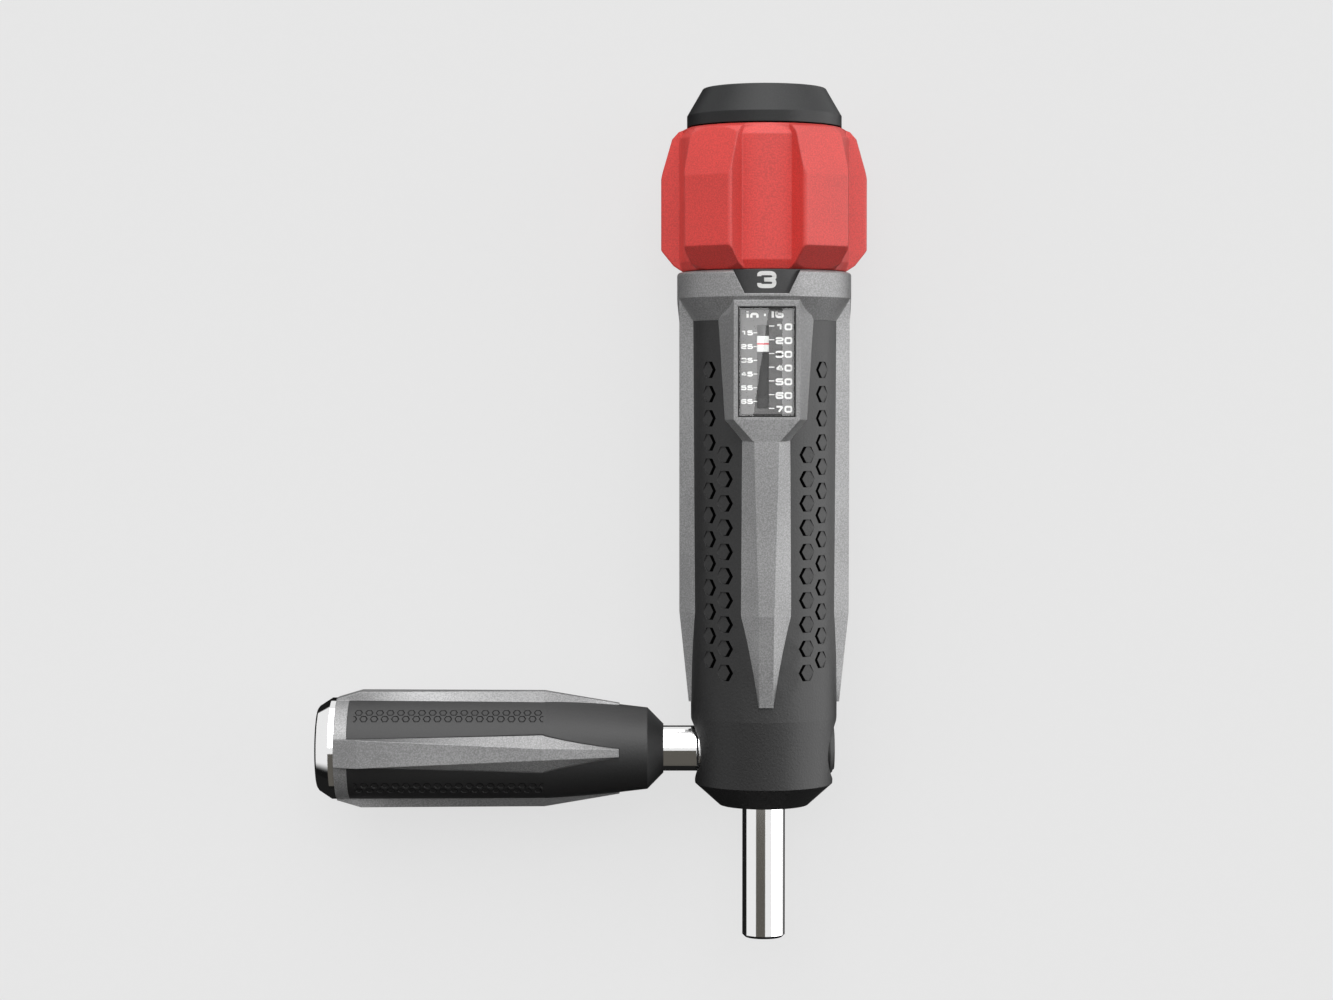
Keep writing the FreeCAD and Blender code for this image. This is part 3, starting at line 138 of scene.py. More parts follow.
# Lamps: the stage setting with the strength, the direction towards the lamp, its angle in degrees, and the kind of
# surface that doesn't show it.
LAMPS = (("key_lamp", "key", (0.00, 0.60, 0.80), 60, None),
         ("side_lamp", "side", (0.80, 0.15, 0.58), 30, None),
         ("fill_lamp", "fill", (-0.75, 0.10, 0.65), 40, "glossy"),
         ("side_sheen", "sheen", (0.98, 0.10, 0.17), 80, "diffuse"),
         ("top_sheen", "sheen", (0.05, 0.93, 0.36), 80, "diffuse"))

# World: tones that matt surfaces see towards -Y and +Y, then those of the studio that gloss sees. A band is the
# stretch over which a tone changes, in a component of the unit direction: y for the sky and the foot, -y and then
# x on the left and right for the panel, and z plus shares of x and y for what lies below.
MATT_LOW, MATT_HIGH, SKY_BAND = (0.12, 0.12, 0.12), (0.32, 0.32, 0.32), (-0.5, 0.8)
STUDIO = (0.86, 0.86, 0.86)
FOOT, FOOT_BAND = (0.008, 0.008, 0.008), (-0.55, -0.35)
PANEL, PANEL_BANDS = (0.105, 0.098, 0.086), ((0.115, 0.13), (-0.69, -0.66), (0.11, 0.135))
BELOW, BELOW_BAND, BELOW_LEAN = (0.012, 0.012, 0.012), (-0.60, -0.54), (0.229, 0.4055)

# Cards: corners where the lens mirrors them, in millimetres from the lens's middle, and their height.
LEFT_CARD = ((-7, -14), (-3.2, -14), (0.9, 14), (-7, 14))
RIGHT_CARD = ((3.5, -14), (7, -14), (7, 14), (3.5, 14))
CARD_HEIGHT = 1.0

FLOOR_REACH = 3.0
FLOOR_GRAIN, FLOOR_CONTRAST = 400.0, 0.005
CAMERA_PLACE = (-21.9 * MM, 121 * MM, 679 * MM)
CAMERA_TILT = math.atan2(22.45, 679.0)
CAMERA_LENS = 81.6


# ---------------------------------------------------------------- sizes read from the frame

def low(node):
    return np.array(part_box(node)[0])


def high(node):
    return np.array(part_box(node)[1])


def middle(node):
    return (low(node) + high(node)) / 2


# ---------------------------------------------------------------- node trees

class Value:
    """A shader socket that takes part in arithmetic: each operation adds its Math node."""

    def __init__(self, tree, socket):
        self.tree, self.socket = tree, socket

    def math(self, operation, *others):
        return self.tree.node("ShaderNodeMath", {"operation": operation}, dict(enumerate((self, *others))))

    def reflected(self, operation, other):
        return self.tree.node("ShaderNodeMath", {"operation": operation}, {0: other, 1: self})

    def __add__(self, other):
        return self.math("ADD", other)

    def __sub__(self, other):
        return self.math("SUBTRACT", other)

    def __rsub__(self, other):
        return self.reflected("SUBTRACT", other)

    def __mul__(self, other):
        return self.math("MULTIPLY", other)

    def __truediv__(self, other):
        return self.math("DIVIDE", other)

    def __lt__(self, other):
        return self.math("LESS_THAN", other)

    def __gt__(self, other):
        return self.math("GREATER_THAN", other)

    def __abs__(self):
        return self.math("ABSOLUTE")

    __radd__ = __add__
    __rmul__ = __mul__


class Tree:
    """A node tree in the making, for a material or the world."""

    def __init__(self, owner):
        owner.use_nodes = True
        self.nodes, self.links = owner.node_tree.nodes, owner.node_tree.links
        self.nodes.clear()

    def node(self, kind, settings=None, inputs=None, out=0):
        """Adds one node: its settings first, then numbers or links on its sockets. Returns the outputs named."""
        node = self.nodes.new(kind)
        for key, value in (settings or {}).items():
            setattr(node, key, value)
        for key, value in (inputs or {}).items():
            if isinstance(value, Value):
                self.links.new(value.socket, node.inputs[key])
            else:
                node.inputs[key].default_value = value
        if isinstance(out, tuple):
            return tuple(Value(self, node.outputs[name]) for name in out)
        return Value(self, node.outputs[out]) if node.outputs else None

    def blend(self, share, a, b):
        """Colour between a and b."""
        return self.node("ShaderNodeMix", {"data_type": "RGBA"}, {0: share, 6: a, 7: b}, 2)

    def ease(self, value, start, end):
        """0 below start, 1 above end, smooth between them."""
        return self.node("ShaderNodeMapRange", {"interpolation_type": "SMOOTHSTEP"},
                         {"Value": value, "From Min": start, "From Max": end})

    def noise(self, at, scale, detail=2.0):
        return self.node("ShaderNodeTexNoise", None, {"Vector": at, "Scale": scale, "Detail": detail})

    def object_place(self):
        return self.node("ShaderNodeTexCoord", out="Object")

    def axes(self, vector):
        return self.node("ShaderNodeSeparateXYZ", None, {"Vector": vector}, ("X", "Y", "Z"))


def rgba(colour, share=1.0):
    return (colour[0] * share, colour[1] * share, colour[2] * share, 1.0)


# ---------------------------------------------------------------- finishes

def surfaced(name, colour, bump, painted_shade=None, **constants):
    """Ends a material in a Principled shader, or in dull black painted shade where the mask given fourth is 1."""
    material = bpy.data.materials.new(name)
    tree = Tree(material)
    inputs = {"Base Color": colour(tree), "Normal": bump(tree)}
    inputs.update({key.replace("_", " "): value for key, value in constants.items()})
    shader = tree.node("ShaderNodeBsdfPrincipled", None, inputs)
    if painted_shade:
        # Dull black that stands in for the shade deep in hollows: painted shade.
        black = tree.node("ShaderNodeBsdfPrincipled", None, {
            "Base Color": (0.001, 0.001, 0.001, 1), "Roughness": 0.8, "Specular IOR Level": 0.0})
        shader = tree.node("ShaderNodeMixShader", None, {0: painted_shade(tree), 1: shader, 2: black})
    tree.node("ShaderNodeOutputMaterial", None, {"Surface": shader})
    return material


def grain_tint(tree, colour, contrast):
    """Colour with fine grain and faint broad mottling."""
    at = tree.object_place()
    share = tree.noise(at, GRAIN, 3.0) * (1 - MOTTLE_SHARE) + tree.noise(at, MOTTLE) * MOTTLE_SHARE
    return tree.blend(tree.ease(share, *GRAIN_BAND), rgba(colour, 1 - contrast), rgba(colour, 1 + contrast))


def bumped(tree, field, strength, height, edge, samples=6):
    """Relief of a field over softened edges. Its height and the edges' radius are in millimetres."""
    soft = tree.node("ShaderNodeBevel", {"samples": samples}, {"Radius": edge * MM})
    return tree.node("ShaderNodeBump", None, {"Strength": strength, "Distance": height * MM, "Normal": soft,
                                              "Height": field})


def grained(name, colour, contrast=0.2, height=0.02, edge=0.25, **constants):
    """Moulded surface: fine grain in colour and relief, faint broad mottling, softened edges."""
    def tint(tree):
        return grain_tint(tree, colour, contrast)

    def relief(tree):
        return bumped(tree, tree.noise(tree.object_place(), GRAIN * 0.8), 0.6, height, edge)

    return surfaced(name, tint, relief, **constants)


def machined(name, colour, contrast=0.12, height=0.004, edge=0.1, **constants):
    """Turned or drawn metal: fine marks, stretched across the tool's length."""
    def stretched(tree, scale):
        marks_at = tree.node("ShaderNodeMapping", None, {
            "Vector": tree.object_place(), "Scale": (1, MARK_STRETCH, 1)})
        return tree.noise(marks_at, scale, 3.0)

    def tint(tree):
        return tree.blend(stretched(tree, MARKS), rgba(colour, 1 - contrast), rgba(colour, 1 + contrast))

    def relief(tree):
        return bumped(tree, stretched(tree, MARKS * 2), 0.5, height, edge, 4)

    return surfaced(name, tint, relief, Metallic=1.0, **constants)


def pocketed(name, colour, **constants):
    """Grip rubber whose hexagonal pockets get painted shade, dull black, where they are deepest, beside the front
    and back ribs, and painted shadow lines along their flats.

    A point's place in its pocket is t, the distance round the tool from the pocket's middle, and v along it.
    """
    start = low("grip_sleeve")[1] + POCKET_START

    def shade(tree):
        x, y, z = tree.axes(tree.object_place())
        reach = (x * x + z * z).math("SQRT")
        angle = abs(x).math("ARCTAN2", abs(z))
        total = 0
        for column, offset, count, shade_width in POCKETS:
            t = reach * (angle - math.radians(column)).math("SINE")
            step = (y - start) / POCKET_PITCH - offset + 0.5
            along = (step.math("FRACT") - 0.5) * POCKET_PITCH
            v = abs(along)
            near, far = v * SLANT[0] - t * SLANT[1], v * SLANT[0] + t * SLANT[1]
            edge = near.math("MAXIMUM", v).math("MAXIMUM", far)
            inside = (edge < POCKET_HALF + POCKET_MARGIN) * (step > 0) * (step < count)
            # Painted shade: dull black over the pocket's deep side, and a painted shadow line along its flats.
            painted_shade = tree.ease(near, POCKET_HALF - shade_width - SHADE_FADE, POCKET_HALF - shade_width)
            line = tree.ease(v, POCKET_HALF - SHADOW_LINE_BAND[0], POCKET_HALF - SHADOW_LINE_BAND[1]) \
                * (1 - tree.ease(t, *SHADOW_LINE_FADE)) * ((along < 0) * SHADOW_LINE_MORE + SHADOW_LINE_WEAK)
            total = inside * painted_shade.math("MAXIMUM", line) + total
        return total

    def tint(tree):
        return grain_tint(tree, colour, 0.3)

    def relief(tree):
        return bumped(tree, tree.noise(tree.object_place(), RUBBER_GRAIN), 0.8, RUBBER_HEIGHT, 0.08, 4)

    return surfaced(name, tint, relief, shade, **constants)


def handle_rubber(name, colour, **constants):
    """Grip rubber with two staggered rows of small hexagons on each of the handle's four panels, and painted shade
    along each hexagon's edge.
    """
    centre = middle("handle_rod")
    radius = (high("handle_grip") - low("handle_grip"))[2] / 2
    start, end = low("handle_grip")[0] + np.array(HEX_SPAN)
    half_width = HEX_REACH * SLANT[1]

    def hexagons(tree, soft):
        x, y, z = tree.axes(tree.object_place())
        angle = abs(abs((y - centre[1]).math("ARCTAN2", z)) - math.pi / 2) - math.pi / 4
        across = angle * radius
        along = (x / HEX_PITCH + (across > 0) * 0.5).math("FRACT") - 0.5
        u, v = abs(along) * HEX_PITCH, abs(abs(across) - HEX_ROW)
        reach = (u * SLANT[1] + v * SLANT[0]).math("MAXIMUM", v)
        inside = 1 - tree.ease(reach, half_width - soft, half_width)
        return inside * (x > start) * (x < end)

    def tint(tree):
        return grain_tint(tree, colour, 0.2)

    # Painted shade: a dark band just inside each hexagon's edge.
    def rim(tree):
        return (hexagons(tree, HEX_SOFT) - hexagons(tree, HEX_RIM)) * HEX_RIM_SHADE

    def relief(tree):
        grain = bumped(tree, tree.noise(tree.object_place(), RUBBER_GRAIN), 0.6, RUBBER_HEIGHT, 0.25)
        return tree.node("ShaderNodeBump", None, {"Strength": 1.0, "Distance": HEX_DEPTH, "Normal": grain,
                                                  "Height": 1 - hexagons(tree, HEX_SLOPE)})

    return surfaced(name, tint, relief, rim, **constants)


def clear_lens(name):
    """Clear moulded lens. It lets lamp light straight through to the scale behind it."""
    material = bpy.data.materials.new(name)
    tree = Tree(material)
    wear = tree.noise(tree.object_place(), 700.0)
    glass = tree.node("ShaderNodeBsdfPrincipled", None, {
        "Base Color": (1, 1, 1, 1), "Roughness": tree.ease(wear, 0.2, 0.9) * 0.002, "IOR": 1.55,
        "Transmission Weight": 1.0})
    clear = tree.node("ShaderNodeBsdfTransparent")
    lamp_ray = tree.node("ShaderNodeLightPath", out="Is Shadow Ray")
    tree.node("ShaderNodeOutputMaterial", None,
              {"Surface": tree.node("ShaderNodeMixShader", None, {0: lamp_ray, 1: glass, 2: clear})})
    return material


def plastered(material, *nodes):
    """Gives CAD nodes or new pieces one material."""
    for item in nodes:
        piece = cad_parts[item] if isinstance(item, str) else item
        piece.data.materials.clear()
        piece.data.materials.append(material)


# ---------------------------------------------------------------- surfaces

def grid_faces(rows, columns):
    """Quads of a grid whose columns close round on themselves, as rows of four indices."""
    i, j = np.meshgrid(np.arange(rows - 1), np.arange(columns), indexing="ij")
    k = (j + 1) % columns
    corners = [i * columns + j, i * columns + k, (i + 1) * columns + k, (i + 1) * columns + j]
    return np.stack(corners, axis=-1).reshape(-1, 4)


def made_piece(name, parts, body, material):
    """Joins (points, faces) parts into one closed mesh that rides on a body."""
    starts = np.cumsum([0] + [len(points) for points, _ in parts])
    faces = [(f + s).tolist() for (_, f), s in zip(parts, starts)]
    mesh = bpy.data.meshes.new(name)
    mesh.from_pydata(np.vstack([points for points, _ in parts]).tolist(), [], [q for f in faces for q in f])
    work = bmesh.new()
    work.from_mesh(mesh)
    bmesh.ops.remove_doubles(work, verts=work.verts, dist=1e-7)
    bmesh.ops.recalc_face_normals(work, faces=work.faces)
    work.to_mesh(mesh)
    work.free()
    piece = bpy.data.objects.new(name, mesh)
    bpy.context.scene.collection.objects.link(piece)
    plastered(material, piece)
    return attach(piece, body)


# ---------------------------------------------------------------- figures

# Centre lines of each figure in a unit cell, as runs of corners.
FIGURES = {
    "0": [((.5, 1), (1, 1), (1, 0), (0, 0), (0, 1), (.5, 1))],
    "1": [((.66, 0), (.66, 1)), ((.12, .84), (.66, .93))],
    "2": [((0, .76), (0, 1), (1, 1), (1, .5), (0, .5), (0, 0), (1.05, 0))],
    "3": [((0, .76), (0, 1), (1, 1), (1, .5), (.32, .5)), ((.32, .5), (1, .5), (1, 0), (0, 0), (0, .24))],
    "4": [((.74, 0), (.74, 1)), ((.62, 1), (0, .3), (1.1, .3))],
    "5": [((1, 1), (0, 1), (0, .56), (1, .56), (1, 0), (0, 0), (0, .24))],
    "6": [((1, .76), (1, 1), (0, 1), (0, 0), (1, 0), (1, .55), (0, .55))],
    "7": [((0, 1), (1, 1), (.4, 0))],
    "8": [((.5, 1), (1, 1), (1, 0), (0, 0), (0, 1), (.5, 1)), ((0, .5), (1, .5))],
    "9": [((0, .24), (0, 0), (1, 0), (1, 1), (0, 1), (0, .45), (1, .45))],
    "i": [((.5, -.15), (.5, .68)), ((.5, .92), (.5, 1.15))],
    "n": [((0, -.15), (0, .62), (1, .62), (1, -.15))],
    "l": [((.5, -.15), (.5, 1.15))],
    "b": [((0, 1.15), (0, 0), (1, 0), (1, .62), (0, .62))],
    "-": [((0, .42), (.8, .42))],
}
NARROW = {"i": 0.0, "l": 0.0, "-": 0.55}       # share of a cell that a narrow sign takes; a stroke at least
BEND = 0.26                                    # how far a line's turn reaches, as a share of the sign's height


def rounded_run(corners, reach, steps=7):
    """Points of a run of straight lines whose corners are turned by quadratic curves."""
    p = np.asarray(corners, float)
    turn = p[1:-1]

    def towards(other):
        way = other - turn
        length = np.linalg.norm(way, axis=1, keepdims=True)
        return turn + way / length * np.minimum(reach, length / 2)

    s = np.linspace(0, 1, steps)[None, :, None]
    first, last = towards(p[:-2])[:, None], towards(p[2:])[:, None]
    curves = (1 - s) ** 2 * first + 2 * s * (1 - s) * turn[:, None] + s ** 2 * last
    return np.vstack([p[:1], curves.reshape(-1, 2), p[-1:]])


def strip(path, width):
    """Closed flat strip: a rectangle as wide as the stroke and as high as the print, carried along the path."""
    tangent = np.gradient(path, axis=0)
    tangent /= np.linalg.norm(tangent, axis=1, keepdims=True)
    side = np.stack([-tangent[:, 1], tangent[:, 0]], axis=1) * width / 2
    edges = np.stack([path + side, path - side, path - side, path + side], axis=1)
    heights = np.broadcast_to([0, 0, PRINT, PRINT], edges.shape[:2])[..., None]
    points = np.concatenate([edges, heights], axis=2).reshape(-1, 3)
    last = len(points) - 4
    caps = np.array([[0, 1, 2, 3], [last + 3, last + 2, last + 1, last]])
    return points, np.vstack([grid_faces(len(path), 4), caps])


def written(text, centre, width, height, stroke, gap):
    """Strips of a word whose cells are width by height, centred at a point of the flat."""
    cells = [max(width * NARROW.get(letter, 1.0), stroke) for letter in text]
    x = centre[0] - (sum(cells) + gap * (len(text) - 1)) / 2
    parts = []
    for letter, cell in zip(text, cells):
        for run in FIGURES[letter]:
            inner = np.array([cell - stroke, height - stroke])
            corner = np.array([x + stroke / 2, centre[1] - height / 2 + stroke / 2])
            parts.append(strip(rounded_run(np.asarray(run) * inner + corner, height * BEND), stroke))
        x += cell + gap
    return parts


def bar(x0, x1, y, width):
    return strip(np.linspace((x0, y), (x1, y), 2), width)


def laid_flat(parts, z):
    """Puts flat parts at a height."""
    return [(points + (0, 0, z), faces) for points, faces in parts]


def wrapped(parts, radius, angle, y):
    """Bends flat parts round a drum about the tool's axis; a part's x becomes arc length."""
    bent = []
    for points, faces in parts:
        turn, reach = angle + points[:, 0] / radius, radius + points[:, 2]
        bent.append((np.stack([reach * np.sin(turn), y + points[:, 1], reach * np.cos(turn)], axis=1), faces))
    return bent


# ---------------------------------------------------------------- settings

def colour_setting(name, description, default):
    return bpy.props.FloatVectorProperty(name=name, description=description, subtype="COLOR", size=3, min=0, max=1,
                                         default=default)


def size_setting(name, description, default):
    return bpy.props.FloatProperty(name=name, description=description, unit="LENGTH", min=0, precision=5,
                                   default=default)


def strength_setting(name, description, default):
    return bpy.props.FloatProperty(name=name, description=description, min=0, default=default)


class FinishSettings(bpy.types.PropertyGroup):
    """Colours of the moulded, rubber and metal pieces."""
    housing: colour_setting("Housing", "Grey moulding of the housing and handle", (0.255, 0.255, 0.257))
    rubber: colour_setting("Grip rubber", "Rubber of the grip and handle", (0.008, 0.008, 0.0083))
    knob: colour_setting("Knob", "Moulding of the setting knob", (0.67, 0.050, 0.042))
    cap: colour_setting("Palm cap", "Moulding of the palm cap", (0.008, 0.0085, 0.009))
    plate: colour_setting("Scale plate", "Paint behind the scale figures", (0.052, 0.051, 0.050))
    chrome: colour_setting("Chrome", "Plating of the shaft, rod and end cap", (0.93, 0.93, 0.93))


class ScaleSettings(bpy.types.PropertyGroup):
    """Sizes of the printed scale, the pointer's line and the dial figures."""
    pitch: size_setting("Pitch", "Distance between ten units on the scale", 3.0 * MM)
    main_height: size_setting("Main figures", "Height of the right-hand figures", 1.53 * MM)
    side_height: size_setting("Side figures", "Height of the left-hand figures", 1.08 * MM)
    tick: size_setting("Tick", "Width of a tick", 0.2 * MM)
    dial_height: size_setting("Dial figures", "Height of the figures on the units dial", 3.75 * MM)
    dial_width: size_setting("Dial figure width", "Width of the figures on the units dial", 4.2 * MM)
    print_colour: colour_setting("Print", "Colour of the printed figures", (0.76, 0.76, 0.75))
    line_colour: colour_setting("Pointer line", "Colour of the line on the pointer", (0.62, 0.03, 0.05))


class StageSettings(bpy.types.PropertyGroup):
    """Backdrop and lamps."""
    backdrop: colour_setting("Backdrop", "Floor and background", (0.812, 0.812, 0.812))
    key: strength_setting("Key", "Strength of the lamp beyond the cap", 1.9)
    side: strength_setting("Side", "Strength of the right-hand lamp", 0.4)
    fill: strength_setting("Fill", "Strength of the left-hand lamp, which gloss doesn't show", 0.5)
    sheen: strength_setting("Sheen", "Strength of the lamps that only gloss shows", 2.6)
    glare: strength_setting("Glare", "Brightness of the cards that the lens mirrors", 4.2)
    shadow: bpy.props.FloatProperty(name="Shadow", description="Share of the floor's shadow that shows",
                                    subtype="FACTOR", default=0.15, min=0, max=1)


# ---------------------------------------------------------------- operators

class TORQUE_OT_mouldings(bpy.types.Operator):
    """Finishes the moulded and rubber pieces of the CAD model"""
    bl_idname = "torque_screwdriver.mouldings"
    bl_label = "Finish mouldings"

    def execute(self, context):
        colours = context.scene.torque_finishes
        grey = grained("grey_moulding", colours.housing, contrast=0.24, Metallic=0.3, Roughness=0.42)
        rubber = pocketed("grip_rubber", colours.rubber, Roughness=0.5)
        handle = handle_rubber("handle_rubber", colours.rubber, Roughness=0.55)
        red = grained("red_moulding", colours.knob, contrast=0.14, height=0.025, edge=0.6, Roughness=0.45)
        cap = grained("dark_moulding", colours.cap, contrast=0.25, height=0.03, Roughness=0.45,
                      Specular_IOR_Level=0.29)
        plate = grained("scale_paint", colours.plate, contrast=0.08, height=0.005, edge=0.05, Roughness=0.5)
        plastered(grey, "housing_shell", "handle_core")
        plastered(rubber, "grip_sleeve")
        plastered(handle, "handle_grip")
        plastered(red, "adjusting_knob")
        plastered(cap, "palm_cap")
        plastered(plate, "scale_plate")
        for name, colour, constants, nodes in SMALL_MOULDINGS:
            plastered(grained(name, colour, **constants), *nodes)
        plastered(clear_lens("clear_lens"), "window_lens")
        return {"FINISHED"}


class TORQUE_OT_metals(bpy.types.Operator):
    """Finishes the metal pieces of the CAD model"""
    bl_idname = "torque_screwdriver.metals"
    bl_label = "Finish metals"

    def execute(self, context):
        colours = context.scene.torque_finishes
        plastered(machined("chrome_plate", colours.chrome, contrast=0.02, height=0.0006, Roughness=0.06),
                  "drive_shaft", "handle_end_cap", "handle_rod")
        for name, colour, roughness, nodes in METALS:
            plastered(machined(name, colour, Roughness=roughness), *nodes)
        return {"FINISHED"}


class TORQUE_OT_scale(bpy.types.Operator):
    """Prints the scale's figures, ticks and unit on the plate"""
    bl_idname = "torque_screwdriver.scale"
    bl_label = "Print scale"

    def execute(self, context):
        s = context.scene.torque_scale
        ten = middle("pointer")[1] + (REST_READING - 10) / 10 * s.pitch
        x, *cell = MAIN_FIGURES
        side_x, *side_cell = SIDE_FIGURES
        parts = []
        for tens in range(1, 8):
            y = ten - (tens - 1) * s.pitch
            parts.append(bar(*MAIN_TICK, y, s.tick))
            parts += written(str(10 * tens), (x, y - MAIN_DROP), cell[0], s.main_height, *cell[1:])
        for fives in range(6):
            y = ten - (fives + 0.5) * s.pitch
            parts.append(bar(*SIDE_TICK, y, s.tick * THIN_TICK))
            parts += written(str(15 + 10 * fives), (side_x, y), side_cell[0], s.side_height, *side_cell[1:])
        for word, x in UNIT:
            parts += written(word, (x, high("scale_plate")[1] - UNIT_DROP), *UNIT_CELL)
        ink = grained("scale_print", s.print_colour, contrast=0.03, height=0.002, edge=0.02, Roughness=0.5)
        made_piece("scale_figures", laid_flat(parts, high("scale_plate")[2]), "housing", ink)
        return {"FINISHED"}


class TORQUE_OT_pointer_line(bpy.types.Operator):
    """Prints the red line across the pointer"""
    bl_idname = "torque_screwdriver.pointer_line"
    bl_label = "Print pointer line"

    def execute(self, context):
        s = context.scene.torque_scale
        line = [bar(low("pointer")[0] + LINE_MARGIN, high("pointer")[0] - LINE_MARGIN, middle("pointer")[1],
                    LINE_WIDTH)]
        ink = grained("pointer_print", s.line_colour, contrast=0.05, height=0.002, edge=0.02, Roughness=0.5)
        made_piece("pointer_line", laid_flat(line, high("pointer")[2]), "indicator", ink)
        return {"FINISHED"}


class TORQUE_OT_dial(bpy.types.Operator):
    """Prints the ten figures round the units dial"""
    bl_idname = "torque_screwdriver.dial"
    bl_label = "Print dial"

    def execute(self, context):
        s = context.scene.torque_scale
        radius = high("units_dial")[0]
        y = low("units_dial")[1] + DIAL_MIDDLE
        parts = []
        for figure in range(10):
            shape = written(str(figure), (0, 0), s.dial_width, s.dial_height, DIAL_STROKE, 0)
            parts += wrapped(shape, radius, math.radians(36 * (figure - DIAL_REST)), y)
        ink = grained("dial_print", s.print_colour, contrast=0.03, height=0.002, edge=0.02, Roughness=0.5)
        made_piece("dial_figures", parts, "knob", ink)
        return {"FINISHED"}


class TORQUE_OT_rod(bpy.types.Operator):
    """Makes the side handle's rod with its screw thread"""
    bl_idname = "torque_screwdriver.rod"
    bl_label = "Make threaded rod"

    def execute(self, context):
        a, b, centre = low("handle_rod"), high("handle_rod"), middle("handle_rod")
        radius, inner, shoulder = (b - a)[2] / 2, b[0], a[0] + TIE_LENGTH
        threaded = np.linspace(inner - ROD_CHAMFER, inner - THREAD_LENGTH, THREAD_STEPS)
        stations = np.concatenate([[inner, inner], threaded,
                                   [threaded[-1] - THREAD_RUNOUT, shoulder, shoulder, a[0], a[0]]])
        body = np.concatenate([[0, radius - ROD_CHAMFER], np.full(THREAD_STEPS, radius),
                               [radius, radius, TIE_RADIUS, TIE_RADIUS, 0]])
        fade = np.zeros(len(stations))
        fade[2:2 + THREAD_STEPS] = np.minimum(1, (threaded - threaded[-1]) / THREAD_PITCH)
        turn = np.linspace(0, 2 * math.pi, ROD_SIDES, endpoint=False)
        phase = (stations[:, None] / THREAD_PITCH - turn[None, :] / (2 * math.pi)) % 1.0
        r = body[:, None] - THREAD_DEPTH * fade[:, None] * np.abs(2 * phase - 1)
        x = np.broadcast_to(stations[:, None], r.shape)
        points = np.stack([x, centre[1] + r * np.cos(turn), centre[2] + r * np.sin(turn)], axis=-1).reshape(-1, 3)
        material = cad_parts["handle_rod"].data.materials[0]
        rod = made_piece("threaded_rod", [(points, grid_faces(len(stations), ROD_SIDES))], "side_handle",
                         material)
        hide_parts("handle_rod")
        return {"FINISHED"}


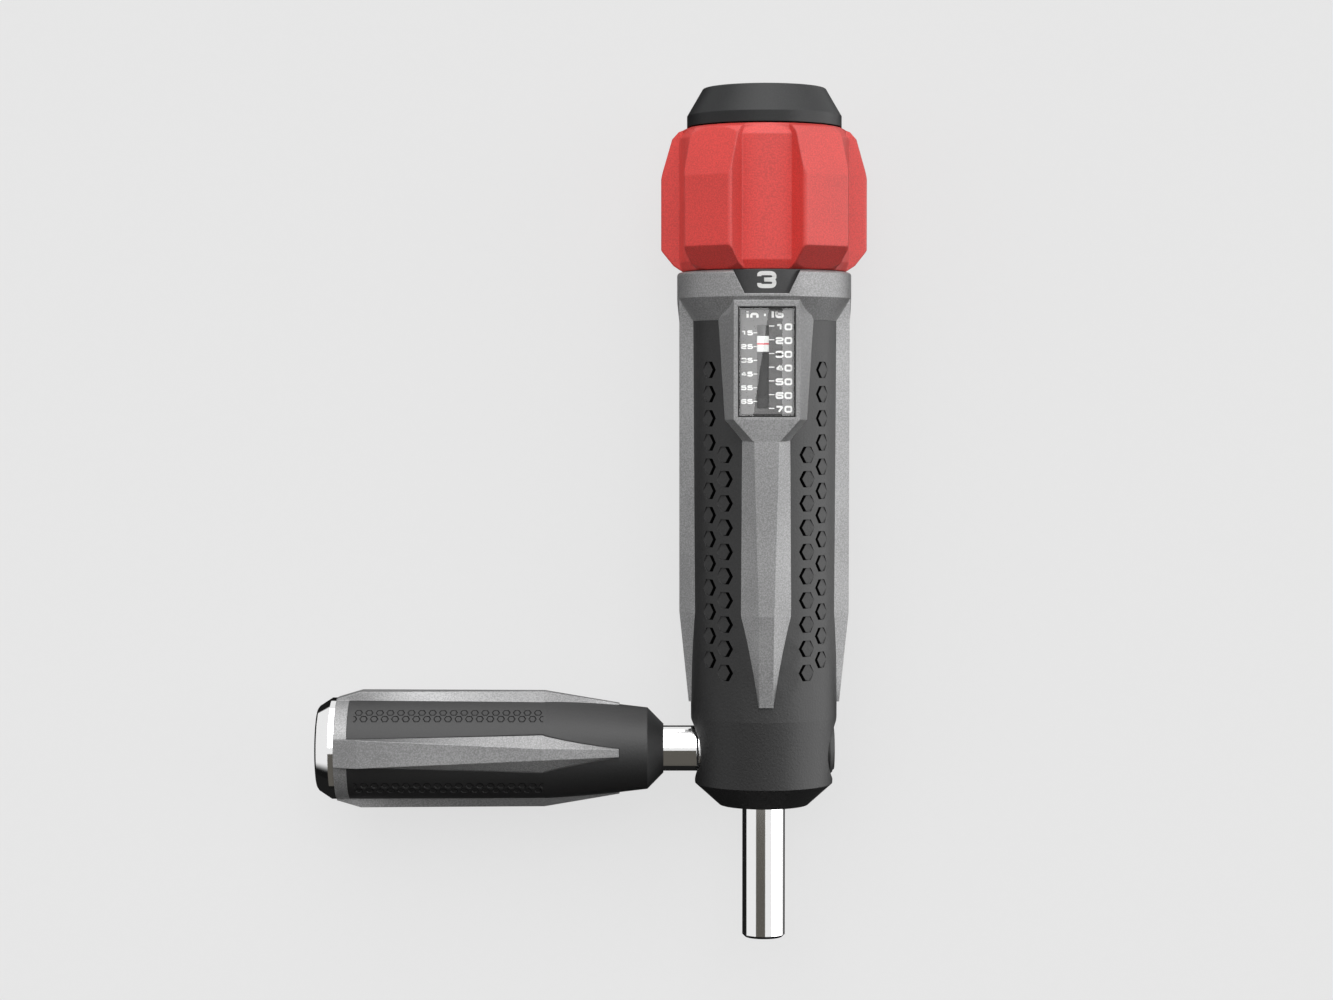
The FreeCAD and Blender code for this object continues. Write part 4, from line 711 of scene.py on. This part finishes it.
class TORQUE_OT_stage(bpy.types.Operator):
    """Sets up the floor, world, lamps and camera"""
    bl_idname = "torque_screwdriver.stage"
    bl_label = "Set up stage"

    def execute(self, context):
        scene = context.scene
        s = scene.torque_stage
        floor_z = CAD_BOX[0][2]
        mesh = bpy.data.meshes.new("floor")
        corners = ((-1, -1), (1, -1), (1, 1), (-1, 1))
        mesh.from_pydata([(x * FLOOR_REACH, y * FLOOR_REACH, floor_z) for x, y in corners], [], [(0, 1, 2, 3)])
        floor = bpy.data.objects.new("floor", mesh)
        scene.collection.objects.link(floor)
        plastered(self.floor_material(s), floor)
        floor.visible_glossy = False
        self.world(scene, s)
        for name, setting, direction, angle, unseen in LAMPS:
            self.lamp(scene, name, getattr(s, setting), direction, angle, unseen)
        self.card(scene, "left_card", s.glare, LEFT_CARD)
        self.card(scene, "right_card", s.glare, RIGHT_CARD)
        self.camera(scene)
        scene.view_settings.view_transform = "Standard"
        return {"FINISHED"}

    def floor_material(self, s):
        """Pale paint. What the camera sees is mostly the paint's own tone, so the shadow stays faint."""
        material = bpy.data.materials.new("floor_paint")
        tree = Tree(material)
        tone = tree.noise(tree.object_place(), FLOOR_GRAIN)
        paint = tree.blend(tone, rgba(s.backdrop, 1 - FLOOR_CONTRAST), rgba(s.backdrop, 1 + FLOOR_CONTRAST))
        matt = tree.node("ShaderNodeBsdfDiffuse", None, {"Color": paint})
        plain = tree.node("ShaderNodeEmission", None, {"Color": paint, "Strength": 1.0})
        seen = tree.node("ShaderNodeLightPath", out="Is Camera Ray")
        mixed = tree.node("ShaderNodeMixShader", None, {0: seen * (1 - s.shadow), 1: matt, 2: plain})
        tree.node("ShaderNodeOutputMaterial", None, {"Surface": mixed})
        return material

    def world(self, scene, s):
        """Backdrop for the camera, a soft sky for matt surfaces, and a studio with dark panels for gloss."""
        scene.world = bpy.data.worlds.new("studio")
        tree = Tree(scene.world)
        x, y, z = tree.axes(tree.node("ShaderNodeTexCoord", out="Generated"))
        camera, glossy = tree.node("ShaderNodeLightPath", out=("Is Camera Ray", "Is Glossy Ray"))
        matt = tree.blend(tree.ease(y, *SKY_BAND), rgba(MATT_LOW), rgba(MATT_HIGH))
        edge, left, right = PANEL_BANDS
        panel = tree.ease(y * -1, *edge) * tree.ease(x, *left) * (1 - tree.ease(x, *right)) * (z > 0)
        below = 1 - tree.ease(z + x * BELOW_LEAN[0] + y * BELOW_LEAN[1], *BELOW_BAND)
        foot = 1 - tree.ease(y, *FOOT_BAND)
        panelled = tree.blend(panel, tree.blend(foot, rgba(STUDIO), rgba(FOOT)), rgba(PANEL))
        gloss = tree.blend(below, panelled, rgba(BELOW))
        seen = tree.blend(camera, matt, rgba(s.backdrop))
        sky = tree.node("ShaderNodeBackground", None, {"Color": tree.blend(glossy, seen, gloss), "Strength": 1.0})
        tree.node("ShaderNodeOutputWorld", None, {"Surface": sky})

    def lamp(self, scene, name, strength, direction, angle, unseen):
        data = bpy.data.lights.new(name, "SUN")
        data.energy, data.angle = strength, math.radians(angle)
        lamp = bpy.data.objects.new(name, data)
        lamp.rotation_euler = Vector(direction).to_track_quat("Z", "Y").to_euler()
        if unseen:
            setattr(lamp, "visible_" + unseen, False)
        scene.collection.objects.link(lamp)

    def card(self, scene, name, brightness, corners):
        """Bright card over the camera that shows in the lens only. Its corners are given where the lens mirrors
        them, in millimetres from the lens's middle, and spread from the camera's foot in step with the height."""
        spread = 1 + CARD_HEIGHT / CAMERA_PLACE[2]
        foot = np.array(CAMERA_PLACE[:2])
        flat = np.array(corners) * MM + (0, middle("window_lens")[1])
        points = [(x, y, CARD_HEIGHT) for x, y in foot + spread * (flat - foot)]
        mesh = bpy.data.meshes.new(name)
        mesh.from_pydata(points, [], [(0, 1, 2, 3)])
        card = bpy.data.objects.new(name, mesh)
        scene.collection.objects.link(card)
        material = bpy.data.materials.new(name)
        tree = Tree(material)
        light = tree.node("ShaderNodeEmission", None, {"Color": (1, 1, 1, 1), "Strength": brightness})
        tree.node("ShaderNodeOutputMaterial", None, {"Surface": light})
        plastered(material, card)
        card.visible_camera = card.visible_diffuse = card.visible_transmission = card.visible_shadow = False

    def camera(self, scene):
        data = bpy.data.cameras.new("camera")
        data.sensor_width, data.lens = 36.0, CAMERA_LENS
        data.clip_start, data.clip_end = 0.01, 20.0
        camera = bpy.data.objects.new("camera", data)
        camera.location = CAMERA_PLACE
        camera.rotation_euler = (-CAMERA_TILT, 0, 0)
        scene.collection.objects.link(camera)
        scene.camera = camera


class TORQUE_PT_looks(bpy.types.Panel):
    """Lists the steps that dress the torque screwdriver"""
    bl_idname = "TORQUE_PT_looks"
    bl_label = "Torque Screwdriver"
    bl_space_type = "VIEW_3D"
    bl_region_type = "UI"
    bl_category = "Torque Screwdriver"

    def draw(self, context):
        for step in STEPS:
            self.layout.operator(step.bl_idname)
        for group, owner in GROUPS:
            settings = getattr(context.scene, owner)
            for name in group.__annotations__:
                self.layout.prop(settings, name)


GROUPS = ((FinishSettings, "torque_finishes"), (ScaleSettings, "torque_scale"), (StageSettings, "torque_stage"))
STEPS = (TORQUE_OT_mouldings, TORQUE_OT_metals, TORQUE_OT_scale, TORQUE_OT_pointer_line, TORQUE_OT_dial,
         TORQUE_OT_rod, TORQUE_OT_stage)


def register():
    for group, owner in GROUPS:
        bpy.utils.register_class(group)
        setattr(bpy.types.Scene, owner, bpy.props.PointerProperty(type=group))
    for kind in STEPS + (TORQUE_PT_looks,):
        bpy.utils.register_class(kind)


def unregister():
    for kind in reversed(STEPS + (TORQUE_PT_looks,)):
        bpy.utils.unregister_class(kind)
    for group, owner in reversed(GROUPS):
        delattr(bpy.types.Scene, owner)
        bpy.utils.unregister_class(group)


def main():
    register()
    for step in STEPS:
        name = step.bl_idname.split(".")[1]
        getattr(bpy.ops.torque_screwdriver, name)()


if __name__ == "__main__":
    main()
